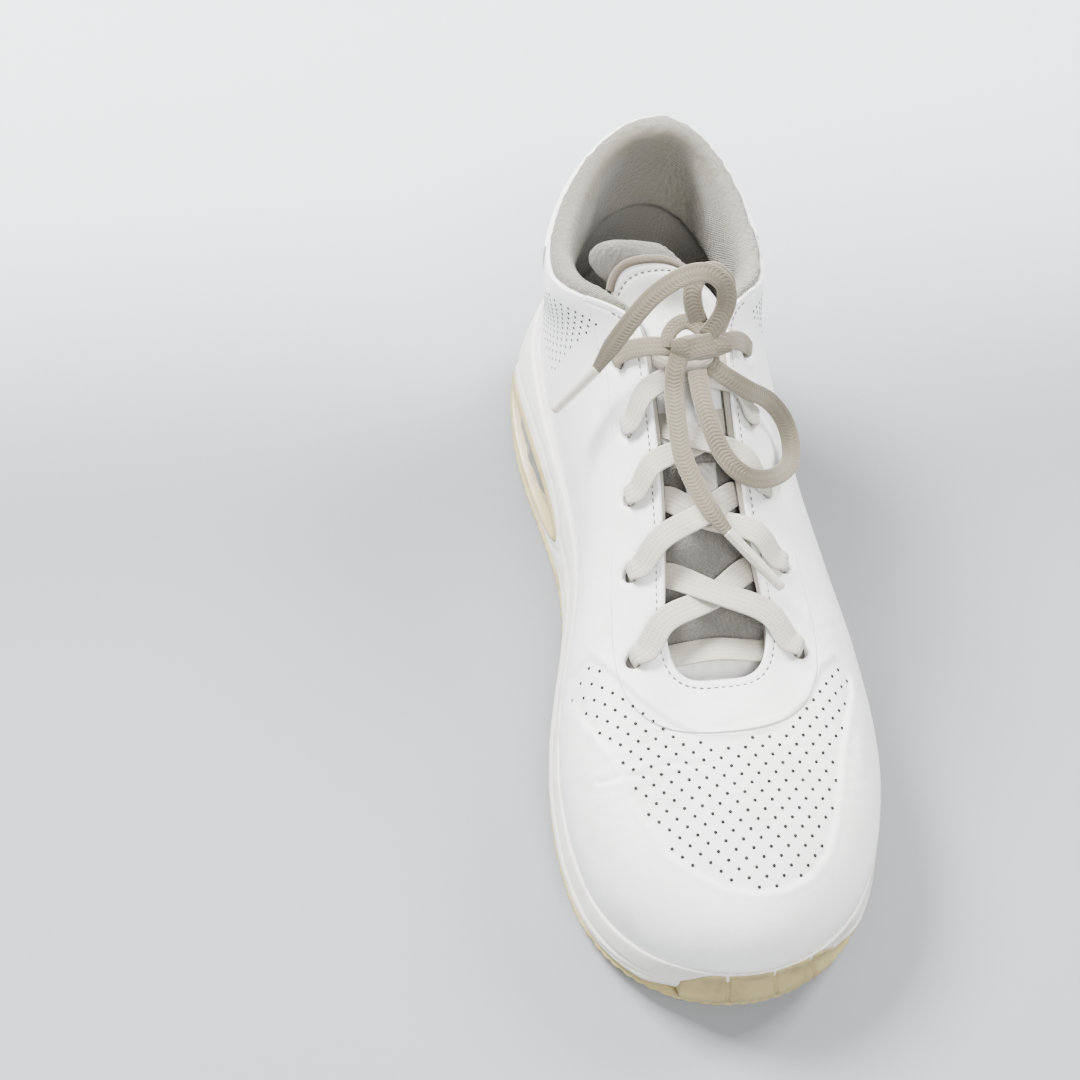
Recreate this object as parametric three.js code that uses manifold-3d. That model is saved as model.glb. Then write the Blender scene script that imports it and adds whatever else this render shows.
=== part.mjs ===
// Left court shoe: cupsole with a heel air unit, one-piece leather upper, padded collar, tongue and tied laces.
// Millimetres, +Z up, toe towards -Y, lateral side at +X. The sole stands on z = 0.
import * as THREE from 'three';
import Module from 'manifold-3d';

const wasm = await Module();
wasm.setup();

// Driving dimensions
const GAP = 0.3; // air left between neighbouring pieces
const SKIN = 1.4; // outer leather
const BACKER = [1.8, 2.3]; // stiffener and eyelet reinforcement, depth below the outer surface
const LINING = [2.7, 3.7];
const FOAM = [1.8, 6.4];
const COLLAR_LINING = [6.7, 7.7];
const OUTSOLE = 3.4;
const BOARD = 1.5; // strobel board
const SOCK = 4; // sockliner
const FLEX_Y = -70; // ball line, where the forefoot bends
const FLEX_Z = 25;
const FLEX_SLOPE = 0.56; // radians, how far the folding band of the vamp leans towards the toe
const EYELET_RADIUS = 2.9;
const EYELET_INSET = 12.5; // along the leather from the throat edge
const EYELET_ROWS = [46, 24.5, 3, -19, -42];
const LACE_WIDTH = 7.4;
const LACE_THICK = 1.5;
const CORD_WIDTH = 6;
const CORD_THICK = 2.2;
const AGLET_RADIUS = 1.7;
const WINDOW = { y: 68, z: 20, halfLength: 36, halfHeight: 8, rim: 2.5 };

// 24 columns run round the shoe: 0 at the toe tip, 12 at the heel, lateral side first.
const OUTLINE = [
  [-2, -141], [20, -135], [39, -118], [51, -90], [55.5, -58], [54, -28], [50, 2], [47.5, 32],
  [47, 62], [45, 90], [38, 116], [21, 135], [0, 141], [-21, 135], [-38, 116], [-44.5, 92],
  [-43, 62], [-38.5, 32], [-38.5, 4], [-45.5, -26], [-51.5, -56], [-52, -88], [-44.5, -116], [-26, -135],
];
const TOPLINE = [
  [-1, -55, 61], [7, -54.5, 61], [13, -50, 63], [15.5, -38, 68], [14, -20, 77], [13, 0, 86.5],
  [12.5, 20, 95.5], [13, 40, 104], [15.5, 53, 109], [26, 64, 107.5], [33.5, 86, 100], [26, 123, 106.5],
  [2, 136, 115], [-24.5, 122.5, 104.5], [-39, 86, 101], [-30, 64, 107.5], [-17, 53, 109], [-14, 40, 104],
  [-13.5, 20, 95.5], [-14, 0, 86.5], [-15, -20, 77], [-16.5, -38, 68], [-15, -50, 63], [-9, -54.5, 61],
];
// How each column swells between sole and topline: out and up from the sole, out and down from the topline.
const SWELL = [
  [2, 26, 46, 6], [2, 26, 42, 6], [3, 26, 36, 7], [4, 24, 30, 10], [4, 24, 24, 12], [3, 26, 20, 15],
  [3, 26, 18, 18], [2, 28, 16, 20], [0, 28, 16, 18], [-1, 24, 9, 18], [-1, 20, 2, 20], [0, 20, 0, 20], [1, 22, 1, 24],
];
const SOLE_TOP = [[-140, 27], [-125, 22.5], [-100, 19.5], [-60, 19], [-20, 23], [20, 30], [60, 37], [100, 42.5], [140, 46]];
const SOLE_BOTTOM = [[-140, 6.5], [-120, 3.2], [-95, 0.8], [-75, 0], [-70, 0], [95, 0], [100, 0], [125, 0.8], [140, 4]];
const SOLE_INSET = [[-140, 3], [-60, 3], [20, 5], [80, 8], [140, 7]];
const EYESTAY_WIDTH = [14, 15, 17, 20, 21, 21, 21, 20, 18, 2];

// Smooth curve through [x, y] stations, flat beyond the ends.
function profile(stations, x) {
  const last = stations.length - 1;
  const at = Math.min(Math.max(x, stations[0][0]), stations[last][0]);
  let i = 0;
  while (i < last - 1 && at > stations[i + 1][0]) i += 1;
  const slope = (k) => {
    if (k === 0 || k === last) {
      const a = stations[k === 0 ? 0 : last - 1];
      const b = stations[k === 0 ? 1 : last];
      return (b[1] - a[1]) / (b[0] - a[0]);
    }
    const [x0, y0] = stations[k - 1];
    const [x1, y1] = stations[k];
    const [x2, y2] = stations[k + 1];
    const left = x1 - x0;
    const right = x2 - x1;
    return (left ** 2 * (y2 - y1) + right ** 2 * (y1 - y0)) / (left * right * (left + right));
  };
  const [xa, ya] = stations[i];
  const [xb, yb] = stations[i + 1];
  const h = xb - xa;
  const s = (at - xa) / h;
  return (1 + 2 * s) * (1 - s) ** 2 * ya + s * (1 - s) ** 2 * h * slope(i)
    + s * s * (3 - 2 * s) * yb + s * s * (s - 1) * h * slope(i + 1);
}

// Closed uniform cubic B-spline through the given points; the parameter counts points.
function closedSpline(points) {
  const n = points.length;
  const control = points.map((p) => [...p]);
  for (let round = 0; round < 60; round += 1) {
    for (let i = 0; i < n; i += 1) {
      const before = control[(i + n - 1) % n];
      const after = control[(i + 1) % n];
      control[i] = points[i].map((value, k) => (6 * value - before[k] - after[k]) / 4);
    }
  }
  return (t) => {
    const i = Math.floor(t);
    const f = t - i;
    const weights = [(1 - f) ** 3, 3 * f ** 3 - 6 * f * f + 4, -3 * f ** 3 + 3 * f * f + 3 * f + 1, f ** 3];
    return points[0].map((_, k) => weights.reduce((sum, w, j) => sum + w * control[(i - 1 + j + 2 * n) % n][k], 0) / 6);
  };
}

const outlineAt = closedSpline(OUTLINE);
const toplineAt = closedSpline(TOPLINE);
const swellAt = closedSpline([...SWELL, ...SWELL.slice(1, 12).reverse()]);
const UP = new THREE.Vector3(0, 0, 1);

function outward(t) {
  const a = outlineAt(t - 0.01);
  const b = outlineAt(t + 0.01);
  return new THREE.Vector3(b[1] - a[1], a[0] - b[0], 0).normalize();
}

// Outline of the sole pulled in by a distance, at height z.
function soleRing(t, inset, z) {
  const [x, y] = outlineAt(t);
  return new THREE.Vector3(x, y, z).addScaledVector(outward(t), -inset);
}

function featherLine(t) {
  const [, y] = outlineAt(t);
  const point = soleRing(t, profile(SOLE_INSET, y), 0);
  point.z = profile(SOLE_TOP, point.y);
  return point;
}

// Outer surface of the upper: h is 0 at the sole and 1 at the throat or collar edge.
function upperSurface(t, h) {
  const foot = featherLine(t);
  const top = new THREE.Vector3(...toplineAt(t));
  const [outLow, upLow, outHigh, downHigh] = swellAt(t);
  const out = outward(t);
  const low = foot.clone().addScaledVector(out, outLow).addScaledVector(UP, upLow);
  const high = top.clone().addScaledVector(out, outHigh).addScaledVector(UP, -downHigh);
  return new THREE.CubicBezierCurve3(foot, low, high, top).getPoint(h);
}

function upperNormal(t, h) {
  const at = Math.min(Math.max(h, 0.001), 0.999);
  const along = upperSurface(t + 0.01, at).sub(upperSurface(t - 0.01, at));
  const rise = upperSurface(t, at + 0.001).sub(upperSurface(t, at - 0.001));
  return along.cross(rise).normalize();
}

function upperPoint(t, h, depth) {
  return upperSurface(t, h).addScaledVector(upperNormal(t, h), -depth);
}

// The h that lies a given distance below the throat or collar edge, measured along the leather.
function belowEdge(t, distance) {
  const steps = 80;
  let walked = 0;
  let last = upperSurface(t, 1);
  for (let i = 1; i <= steps; i += 1) {
    const h = 1 - i / steps;
    const next = upperSurface(t, h);
    const step = next.distanceTo(last);
    if (walked + step >= distance) return h + (1 - (distance - walked) / step) / steps;
    walked += step;
    last = next;
  }
  return 0;
}

const wrap = (t) => Math.min(((t % 24) + 24) % 24, 24 - (((t % 24) + 24) % 24));

function eyestayEdge(t, extra = 0) {
  const from = wrap(t);
  if (from > 9) return 1;
  const i = Math.min(Math.floor(from), 8);
  const width = THREE.MathUtils.lerp(EYESTAY_WIDTH[i], EYESTAY_WIDTH[i + 1], from - i);
  return belowEdge(t, Math.max(width - extra, 0));
}

// Mudguard edge: the toe piece rises to this height and falls away along both sides.
const MUDGUARD = [[0, 0.42], [1, 0.44], [1.5, 0.53], [2, 0.62], [2.5, 0.63], [3, 0.58], [4, 0.46], [5, 0.4], [12, 0.4]];
const mudguardEdge = (t) => profile(MUDGUARD, wrap(t));

function meshGeometry(points, triangles) {
  const geometry = new THREE.BufferGeometry();
  const flat = points.flatMap((p) => [p.x, p.y, p.z]);
  geometry.setAttribute('position', new THREE.Float32BufferAttribute(flat, 3));
  geometry.setIndex(triangles);
  geometry.computeVertexNormals();
  return geometry;
}

function toSolid(geometry) {
  const vertProperties = new Float32Array(geometry.attributes.position.array);
  const triVerts = new Uint32Array(geometry.index.array);
  return new wasm.Manifold(new wasm.Mesh({ numProp: 3, vertProperties, triVerts }));
}

function fromSolid(solid) {
  const { vertProperties, triVerts } = solid.getMesh();
  const geometry = new THREE.BufferGeometry();
  geometry.setAttribute('position', new THREE.BufferAttribute(new Float32Array(vertProperties), 3));
  geometry.setIndex(new THREE.BufferAttribute(new Uint32Array(triVerts), 1));
  geometry.computeVertexNormals();
  return geometry;
}

// A closed sheet of even thickness between two point grids, open or joined round in its first direction.
function thickSheet(outer, inner, rows, columns, joined = false) {
  const points = [];
  for (let i = 0; i < rows; i += 1) {
    for (let j = 0; j < columns; j += 1) points.push(outer(i, j));
  }
  for (let i = 0; i < rows; i += 1) {
    for (let j = 0; j < columns; j += 1) points.push(inner(i, j));
  }
  const far = rows * columns;
  const triangles = [];
  const quad = (a, b, c, d) => triangles.push(a, b, c, a, c, d);
  const id = (i, j) => (i % rows) * columns + j;
  const spans = joined ? rows : rows - 1;
  for (let i = 0; i < spans; i += 1) {
    for (let j = 0; j < columns - 1; j += 1) {
      quad(id(i, j), id(i + 1, j), id(i + 1, j + 1), id(i, j + 1));
      quad(far + id(i, j), far + id(i, j + 1), far + id(i + 1, j + 1), far + id(i + 1, j));
    }
    quad(id(i + 1, 0), id(i, 0), far + id(i, 0), far + id(i + 1, 0));
    quad(id(i, columns - 1), id(i + 1, columns - 1), far + id(i + 1, columns - 1), far + id(i, columns - 1));
  }
  if (!joined) {
    for (let j = 0; j < columns - 1; j += 1) {
      quad(id(0, j), id(0, j + 1), far + id(0, j + 1), far + id(0, j));
      quad(id(rows - 1, j + 1), id(rows - 1, j), far + id(rows - 1, j), far + id(rows - 1, j + 1));
    }
  }
  return meshGeometry(points, triangles);
}

// A piece of the upper between two depths, from column t0 to t1 and from edge low(t) to edge high(t).
function upperPiece({ t0 = 0, t1 = 24, low, high, depth, rows = 48, columns = 9 }) {
  const joined = t1 - t0 === 24;
  const spot = (i, j, d) => {
    const t = t0 + ((t1 - t0) * i) / (joined ? rows : rows - 1);
    const a = low(t);
    return upperPoint(t, a + ((high(t) - a) * j) / (columns - 1), d);
  };
  return thickSheet((i, j) => spot(i, j, depth[0]), (i, j) => spot(i, j, depth[1]), rows, columns, joined);
}

// A solid of stacked rings, closed at both ends by a ladder of triangles across the ring.
function stackRings(rings) {
  const n = rings[0].length;
  const points = rings.flat();
  const triangles = [];
  for (let r = 0; r < rings.length - 1; r += 1) {
    for (let i = 0; i < n; i += 1) {
      const a = r * n + i;
      const b = r * n + ((i + 1) % n);
      triangles.push(a, b, b + n, a, b + n, a + n);
    }
  }
  const ladder = (base, flip) => {
    for (let i = 0; i < n / 2; i += 1) {
      const a = base + i;
      const b = base + i + 1;
      const c = base + ((n - i - 1) % n);
      const d = base + ((n - i) % n);
      const push = (p, q, r) => triangles.push(...(flip ? [p, r, q] : [p, q, r]));
      if (i < n / 2 - 1) push(a, b, c);
      if (i > 0) push(a, c, d);
    }
  };
  ladder(0, true);
  ladder((rings.length - 1) * n, false);
  return meshGeometry(points, triangles);
}

const STEPS = 48;
const ring = (place) => Array.from({ length: STEPS }, (_, i) => place((24 * i) / STEPS));
const bottomAt = (p) => Math.max(profile(SOLE_BOTTOM, p.y), 0);
const topAt = (p) => profile(SOLE_TOP, p.y);

// Ring of the sole at a fraction of the way from the outsole to the feather line, plus an offset in z.
function soleLevel(inset, fraction, lift) {
  return ring((t) => {
    const point = soleRing(t, inset(t), 0);
    const low = bottomAt(point) + OUTSOLE + GAP;
    point.z = low + (topAt(point) - low) * fraction + lift;
    return point;
  });
}

// The toe rubber covers a stretch round the tip, a little further on the lateral side.
const BUMPER_SPAN = [-1, 1.5];
const signed = (t) => (t > 12 ? t - 24 : t);
const bumperDepth = (t) => 2.6 * THREE.MathUtils.smoothstep(
  Math.min(signed(t) - BUMPER_SPAN[0], BUMPER_SPAN[1] - signed(t)), -0.5, 0);
const featherInset = (t) => profile(SOLE_INSET, outlineAt(t)[1]);

function midsoleBody(shrink) {
  const inset = (amount) => (t) => amount + shrink + bumperDepth(t);
  return stackRings([
    soleLevel(inset(3.5), 0, 0),
    soleLevel(inset(1), 0.12, 0),
    soleLevel(inset(0), 0.35, 0),
    soleLevel((t) => 0.25 * featherInset(t) + shrink + bumperDepth(t) * 0.8, 0.7, 0),
    soleLevel((t) => 0.6 * featherInset(t) + shrink, 1, 1.2),
    soleLevel((t) => featherInset(t) - GAP + shrink, 1, 1),
    soleLevel((t) => featherInset(t) - GAP + shrink, 1, -GAP),
  ]);
}

function lensPrism(extra) {
  const points = [];
  for (let i = 0; i < 24; i += 1) {
    const a = (Math.PI * i) / 12;
    const bulge = Math.sign(Math.sin(a)) * Math.abs(Math.sin(a)) ** 1.2;
    points.push(new THREE.Vector2(
      (WINDOW.halfLength + extra) * Math.cos(a), (WINDOW.halfHeight + extra) * bulge));
  }
  const geometry = new THREE.ExtrudeGeometry(new THREE.Shape(points), { depth: 140, bevelEnabled: false });
  geometry.applyMatrix4(new THREE.Matrix4().set(
    0, 0, 1, -70,
    1, 0, 0, WINDOW.y,
    0, 1, 0, WINDOW.z,
    0, 0, 0, 1));
  return toSolid(welded(geometry));
}

// Merges equal corners so that only position is left.
function welded(geometry) {
  const position = geometry.attributes.position;
  const ids = new Map();
  const points = [];
  const index = [];
  const source = geometry.index ? geometry.index.array : [...Array(position.count).keys()];
  for (const i of source) {
    const p = new THREE.Vector3().fromBufferAttribute(position, i);
    const key = p.toArray().map((v) => Math.round(v * 1e4)).join();
    if (!ids.has(key)) {
      ids.set(key, points.length);
      points.push(p);
    }
    index.push(ids.get(key));
  }
  return meshGeometry(points, index);
}

// Half-spaces of the flex joint: behind the ball line, in front of the leaning plane, and the band between.
const REAR = [[0, 1, 0], FLEX_Y + GAP / 2];
const BEFORE_LINE = [[0, -1, 0], -FLEX_Y + GAP / 2];
const leaning = [0, -Math.cos(FLEX_SLOPE), -Math.sin(FLEX_SLOPE)];
const leaningAt = -FLEX_Y * Math.cos(FLEX_SLOPE) - FLEX_Z * Math.sin(FLEX_SLOPE);
const BEFORE_LEAN = [leaning, leaningAt + GAP / 2];
const BEHIND_LEAN = [leaning.map((v) => -v), -leaningAt + GAP / 2];
const LATERAL = [[1, 0, 0], GAP / 2];
const MEDIAL = [[-1, 0, 0], GAP / 2];
const heelNormal = new THREE.Vector3(0, 1, 0.6).normalize().toArray();
const heelAt = heelNormal[1] * 100 + heelNormal[2] * 42;
const HEEL = [heelNormal, heelAt + GAP / 2];
const NOT_HEEL = [heelNormal.map((v) => -v), -heelAt + GAP / 2];
const keep = (solid, ...planes) => planes.reduce((left, [normal, at]) => left.trimByPlane(normal, at), solid);

const shoe = new THREE.Group();
function add(name, shape, color, roughness, metalness = 0) {
  const geometry = shape.isBufferGeometry ? shape : fromSolid(shape);
  const mesh = new THREE.Mesh(geometry, new THREE.MeshStandardMaterial({ color, roughness, metalness }));
  mesh.name = name;
  shoe.add(mesh);
  return mesh;
}

// Eyelets
function columnNear(side, y) {
  let best = 1;
  for (let k = 1; k <= 9; k += 0.02) {
    const t = side > 0 ? k : 24 - k;
    const bestT = side > 0 ? best : 24 - best;
    if (Math.abs(toplineAt(t)[1] - y) < Math.abs(toplineAt(bestT)[1] - y)) best = k;
  }
  return side > 0 ? best : 24 - best;
}

function eyelet(side, row) {
  const t = columnNear(side, EYELET_ROWS[row]);
  const h = belowEdge(t, EYELET_INSET);
  return { point: upperSurface(t, h), normal: upperNormal(t, h), edge: upperSurface(t, 1), under: upperPoint(t, 1, 5) };
}

const eyelets = { lateral: [], medial: [] };
for (let row = 0; row < 5; row += 1) {
  eyelets.lateral.push(eyelet(1, row));
  eyelets.medial.push(eyelet(-1, row));
}
const punches = Object.values(eyelets).flat().map(({ point, normal }) => {
  const pin = new THREE.CylinderGeometry(EYELET_RADIUS, EYELET_RADIUS, 12, 8);
  const turn = new THREE.Quaternion().setFromUnitVectors(new THREE.Vector3(0, 1, 0), normal);
  pin.applyQuaternion(turn);
  pin.translate(point.x, point.y, point.z);
  return toSolid(welded(pin));
});
const punched = (solid) => punches.reduce((left, pin) => left.subtract(pin), solid);

// Outer leather of the upper
const WHITE = 0xe9e8e6;
const HEM = 0.012;
const hem = () => HEM;
const lower = toSolid(upperPiece({ low: hem, high: (t) => eyestayEdge(t), depth: [0, SKIN] }));
const sides = keep(lower, REAR);
add('quarter_lateral', keep(sides, NOT_HEEL, LATERAL), WHITE, 0.45);
add('quarter_medial', keep(sides, NOT_HEEL, MEDIAL), WHITE, 0.45);
add('heel_panel', keep(sides, HEEL), WHITE, 0.45);
const toeCap = toSolid(upperPiece({ t0: -5.5, t1: 5.5, rows: 23, columns: 7, low: hem, high: mudguardEdge, depth: [0, SKIN] }));
add('toe_cap', keep(toeCap, BEFORE_LINE, BEFORE_LEAN), WHITE, 0.45);
const vamp = toSolid(upperPiece({
  t0: -5.5,
  t1: 5.5,
  rows: 23,
  low: (t) => mudguardEdge(t) + 0.006,
  high: (t) => eyestayEdge(t),
  depth: [0, SKIN],
}));
add('vamp_panel', keep(vamp, BEFORE_LINE, BEFORE_LEAN), WHITE, 0.5);
const bandPiece = toSolid(upperPiece({
  t0: -5.5, t1: 5.5, rows: 23, low: hem, high: (t) => eyestayEdge(t), depth: [0, LINING[1]],
}));
add('vamp_flex', keep(bandPiece, BEFORE_LINE, BEHIND_LEAN), WHITE, 0.5);
const eyestay = toSolid(upperPiece({
  t0: -9, t1: 9, rows: 37, columns: 4, low: (t) => eyestayEdge(t, 2 * GAP), high: () => 1, depth: [0, SKIN],
}));
add('eyestay', punched(eyestay), WHITE, 0.42);

// Stiffeners and linings
const CREAM = 0xd8d2c2;
const KNIT = 0xa39b90;
for (const [name, from] of [['lateral', 1], ['medial', 16]]) {
  const backer = toSolid(upperPiece({
    t0: from,
    t1: from + 7,
    rows: 15,
    columns: 3,
    low: (t) => eyestayEdge(t, 2),
    high: () => 0.995,
    depth: [BACKER[0], LINING[1]],
  }));
  add(`eyestay_facing_${name}`, punched(backer), CREAM, 0.8);
}
add('toe_puff', upperPiece({
  t0: -2.5, t1: 2.5, rows: 11, columns: 5, low: () => 0.02, high: (t) => 0.36 - 0.03 * wrap(t), depth: BACKER,
}), CREAM, 0.7);
add('heel_counter', upperPiece({
  t0: 9.5, t1: 14.5, rows: 11, columns: 6, low: () => 0.02, high: () => 0.42, depth: BACKER,
}), CREAM, 0.6);
const COLLAR_LOW = 0.47;
const collarStep = (t) => THREE.MathUtils.smoothstep(wrap(t), 8, 8.99);
const lining = toSolid(upperPiece({
  low: hem,
  high: (t) => THREE.MathUtils.lerp(eyestayEdge(t, 1.4), COLLAR_LOW - 0.012, collarStep(t)),
  depth: LINING,
  columns: 8,
}));
add('vamp_lining', keep(lining, BEFORE_LINE, BEFORE_LEAN), CREAM, 0.9);
const innerSides = keep(lining, REAR);
add('quarter_lining_lateral', keep(innerSides, LATERAL), CREAM, 0.9);
add('quarter_lining_medial', keep(innerSides, MEDIAL), CREAM, 0.9);
add('collar_foam', upperPiece({
  t0: 9, t1: 15, rows: 13, columns: 6, low: () => COLLAR_LOW, high: () => 0.975, depth: FOAM,
}), 0xcfc9b4, 0.95);
add('collar_lining', upperPiece({
  t0: 9, t1: 15, rows: 13, columns: 6, low: () => COLLAR_LOW, high: () => 1, depth: COLLAR_LINING,
}), KNIT, 0.95);

// Sole
const RUBBER = 0xd9cfa6;
const outsole = toSolid(stackRings([
  ring((t) => { const p = soleRing(t, 6, 0); p.z = bottomAt(p); return p; }),
  ring((t) => { const p = soleRing(t, 3.4, 0); p.z = bottomAt(p) + 1.2; return p; }),
  ring((t) => { const p = soleRing(t, 2.2, 0); p.z = bottomAt(p) + OUTSOLE; return p; }),
]));
add('outsole_rear', keep(outsole, REAR), RUBBER, 0.7);
add('outsole_forefoot', keep(outsole, BEFORE_LINE), RUBBER, 0.7);
const midsole = toSolid(midsoleBody(0));
const rimBand = lensPrism(WINDOW.rim);
const outside = (solid, x) => keep(solid, [[1, 0, 0], x]).add(keep(solid, [[-1, 0, 0], x]));
const midsoleRear = keep(midsole, REAR)
  .subtract(lensPrism(0))
  .subtract(outside(lensPrism(WINDOW.rim + GAP), 29.7));
add('midsole_rear', midsoleRear, 0xe4e1d8, 0.55);
add('midsole_forefoot', keep(midsole, BEFORE_LINE), 0xe4e1d8, 0.55);
const rims = rimBand.subtract(lensPrism(0)).intersect(midsole);
add('window_rim_lateral', keep(rims, [[1, 0, 0], 30]), 0xe6dfc4, 0.4);
add('window_rim_medial', keep(rims, [[-1, 0, 0], 30]), 0xe6dfc4, 0.4);
add('air_unit', lensPrism(-GAP).intersect(toSolid(midsoleBody(2.2))), 0x8f9a8a, 0.15);

// Rubber that wraps up over the toe, flush with the midsole wall around it.
const BUMPER_ROWS = [[0.02, 3.08, 2.6], [0.12, 1, 2.6], [0.35, 0, 2.6], [0.7, null, 2.08]];
function bumperPoint(i, j, inner) {
  const t = BUMPER_SPAN[0] + i / 2;
  const [fraction, fixed, recess] = BUMPER_ROWS[j];
  const inset = fixed ?? 0.25 * featherInset(t);
  const point = soleRing(t, inset + (inner ? recess - GAP : -0.3), 0);
  const low = bottomAt(point) + OUTSOLE + GAP;
  point.z = low + (topAt(point) - low) * fraction;
  return point;
}
add('toe_bumper', thickSheet((i, j) => bumperPoint(i, j, false), (i, j) => bumperPoint(i, j, true), 6, 4), RUBBER, 0.65);

function slab(from, to, inset) {
  const level = (lift) => ring((t) => {
    const point = soleRing(t, featherInset(t) + inset, 0);
    point.z = topAt(point) + lift;
    return point;
  });
  return toSolid(stackRings([level(from), level(to)]));
}
const board = slab(0, BOARD, 4.6);
add('strobel_board_rear', keep(board, REAR), 0xcfcabb, 0.9);
add('strobel_board_forefoot', keep(board, BEFORE_LINE), 0xcfcabb, 0.9);
const sock = slab(BOARD + GAP, BOARD + GAP + SOCK, 4.8);
add('sockliner_rear', keep(sock, REAR), KNIT, 0.95);
add('sockliner_forefoot', keep(sock, BEFORE_LINE), KNIT, 0.95);

// Tongue: a padded flap that follows the inside of the throat and stands up behind it.
const TONGUE_DEPTH = [9.5, 7]; // deeper at its stitched end, where the last lace passes over it
const TONGUE_ROWS = [1.5, 2, 3, 4, 5, 6, 7, 8];
const TONGUE_TOP = [
  { centre: [-5, 64, 114.5], half: 15, drop: 7, back: 2 },
  { centre: [-10, 73, 121], half: 20, drop: 5, back: 2 },
];
const ACROSS = 9;

function tongueRow(k) {
  const low = THREE.MathUtils.mapLinear(k, 1.5, 8, 0.84, 0.82);
  const depth = TONGUE_DEPTH[0] + (TONGUE_DEPTH[1] - TONGUE_DEPTH[0]) * THREE.MathUtils.smoothstep(k, 2, 4);
  const side = (t, h) => upperPoint(t, h, depth);
  const right = [low, (low + 1) / 2, 1].map((h) => side(k, h));
  const left = [1, (low + 1) / 2, low].map((h) => side(24 - k, h));
  const crest = right[2].clone().lerp(left[0], 0.5).addScaledVector(UP, 1);
  const curve = new THREE.CatmullRomCurve3([...right, crest, ...left]);
  return curve.getSpacedPoints(ACROSS - 1);
}

function tongueTopRow({ centre, half, drop, back }) {
  return Array.from({ length: ACROSS }, (_, j) => {
    const s = 1 - (2 * j) / (ACROSS - 1);
    return new THREE.Vector3(centre[0] + half * s, centre[1] + back * s * s, centre[2] - drop * s * s);
  });
}

const tongueGrid = [...TONGUE_ROWS.map(tongueRow), ...TONGUE_TOP.map(tongueTopRow)];
const tongueNormal = (i, j) => {
  const clampTo = (v, n) => Math.min(Math.max(v, 0), n - 1);
  const up = tongueGrid[clampTo(i + 1, tongueGrid.length)][j].clone().sub(tongueGrid[clampTo(i - 1, 99)][j]);
  const over = tongueGrid[i][clampTo(j + 1, ACROSS)].clone().sub(tongueGrid[i][clampTo(j - 1, 99)]);
  return up.cross(over).normalize();
};
const tonguePoint = (i, j, depth) => tongueGrid[i][j].clone().addScaledVector(tongueNormal(i, j), -depth);
function tongueSheet(depth, trimmed) {
  const spot = (i, j, d) => tonguePoint(i + trimmed, j + trimmed, d);
  const rows = tongueGrid.length - trimmed;
  return thickSheet((i, j) => spot(i, j, depth[0]), (i, j) => spot(i, j, depth[1]), rows, ACROSS - 2 * trimmed);
}
add('tongue_shell', tongueSheet([0, 1.2], 0), WHITE, 0.5);
add('tongue_foam', tongueSheet([1.5, 5], 1), 0xcfc9b4, 0.95);
add('tongue_lining', tongueSheet([5.3, 6.1], 0), KNIT, 0.95);

// A flexible strip swept along points, its flat face turned towards the matching normals.
function strip({ points, normals, halfWidths, thickness, steps, sides = 6 }) {
  const curve = new THREE.CatmullRomCurve3(points, false, 'centripetal');
  const spans = points.length - 1;
  const rings = [];
  for (let i = 0; i <= steps; i += 1) {
    const u = i / steps;
    const k = Math.min(Math.floor(u * spans), spans - 1);
    const f = u * spans - k;
    const centre = curve.getPoint(u);
    const along = curve.getTangent(u);
    const face = normals[k].clone().lerp(normals[k + 1], f);
    const side = along.clone().cross(face).normalize();
    const top = side.clone().cross(along).normalize();
    const half = THREE.MathUtils.lerp(halfWidths[k], halfWidths[k + 1], f);
    const section = Array.from({ length: sides }, (_, q) => {
      const a = (2 * Math.PI * q) / sides;
      const squared = (v) => Math.sign(v) * Math.abs(v) ** 0.6;
      return centre.clone()
        .addScaledVector(side, half * squared(Math.cos(a)))
        .addScaledVector(top, (thickness / 2) * squared(Math.sin(a)));
    });
    rings.push(section);
  }
  const triangles = [];
  for (let i = 0; i < steps; i += 1) {
    for (let q = 0; q < sides; q += 1) {
      const a = i * sides + q;
      const b = i * sides + ((q + 1) % sides);
      triangles.push(a, a + sides, b + sides, a, b + sides, b);
    }
  }
  for (let q = 1; q < sides - 1; q += 1) {
    triangles.push(0, q, q + 1);
    triangles.push(steps * sides, steps * sides + q + 1, steps * sides + q);
  }
  return meshGeometry(rings.flat(), triangles);
}

// Laces between the eyelets
const LACE = 0xcac5bb;
const HALF = LACE_WIDTH / 2;
function edgeSpot(side, y, depth) {
  const t = columnNear(side, y);
  return { point: upperPoint(t, 1, depth), normal: upperNormal(t, 1) };
}

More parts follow.
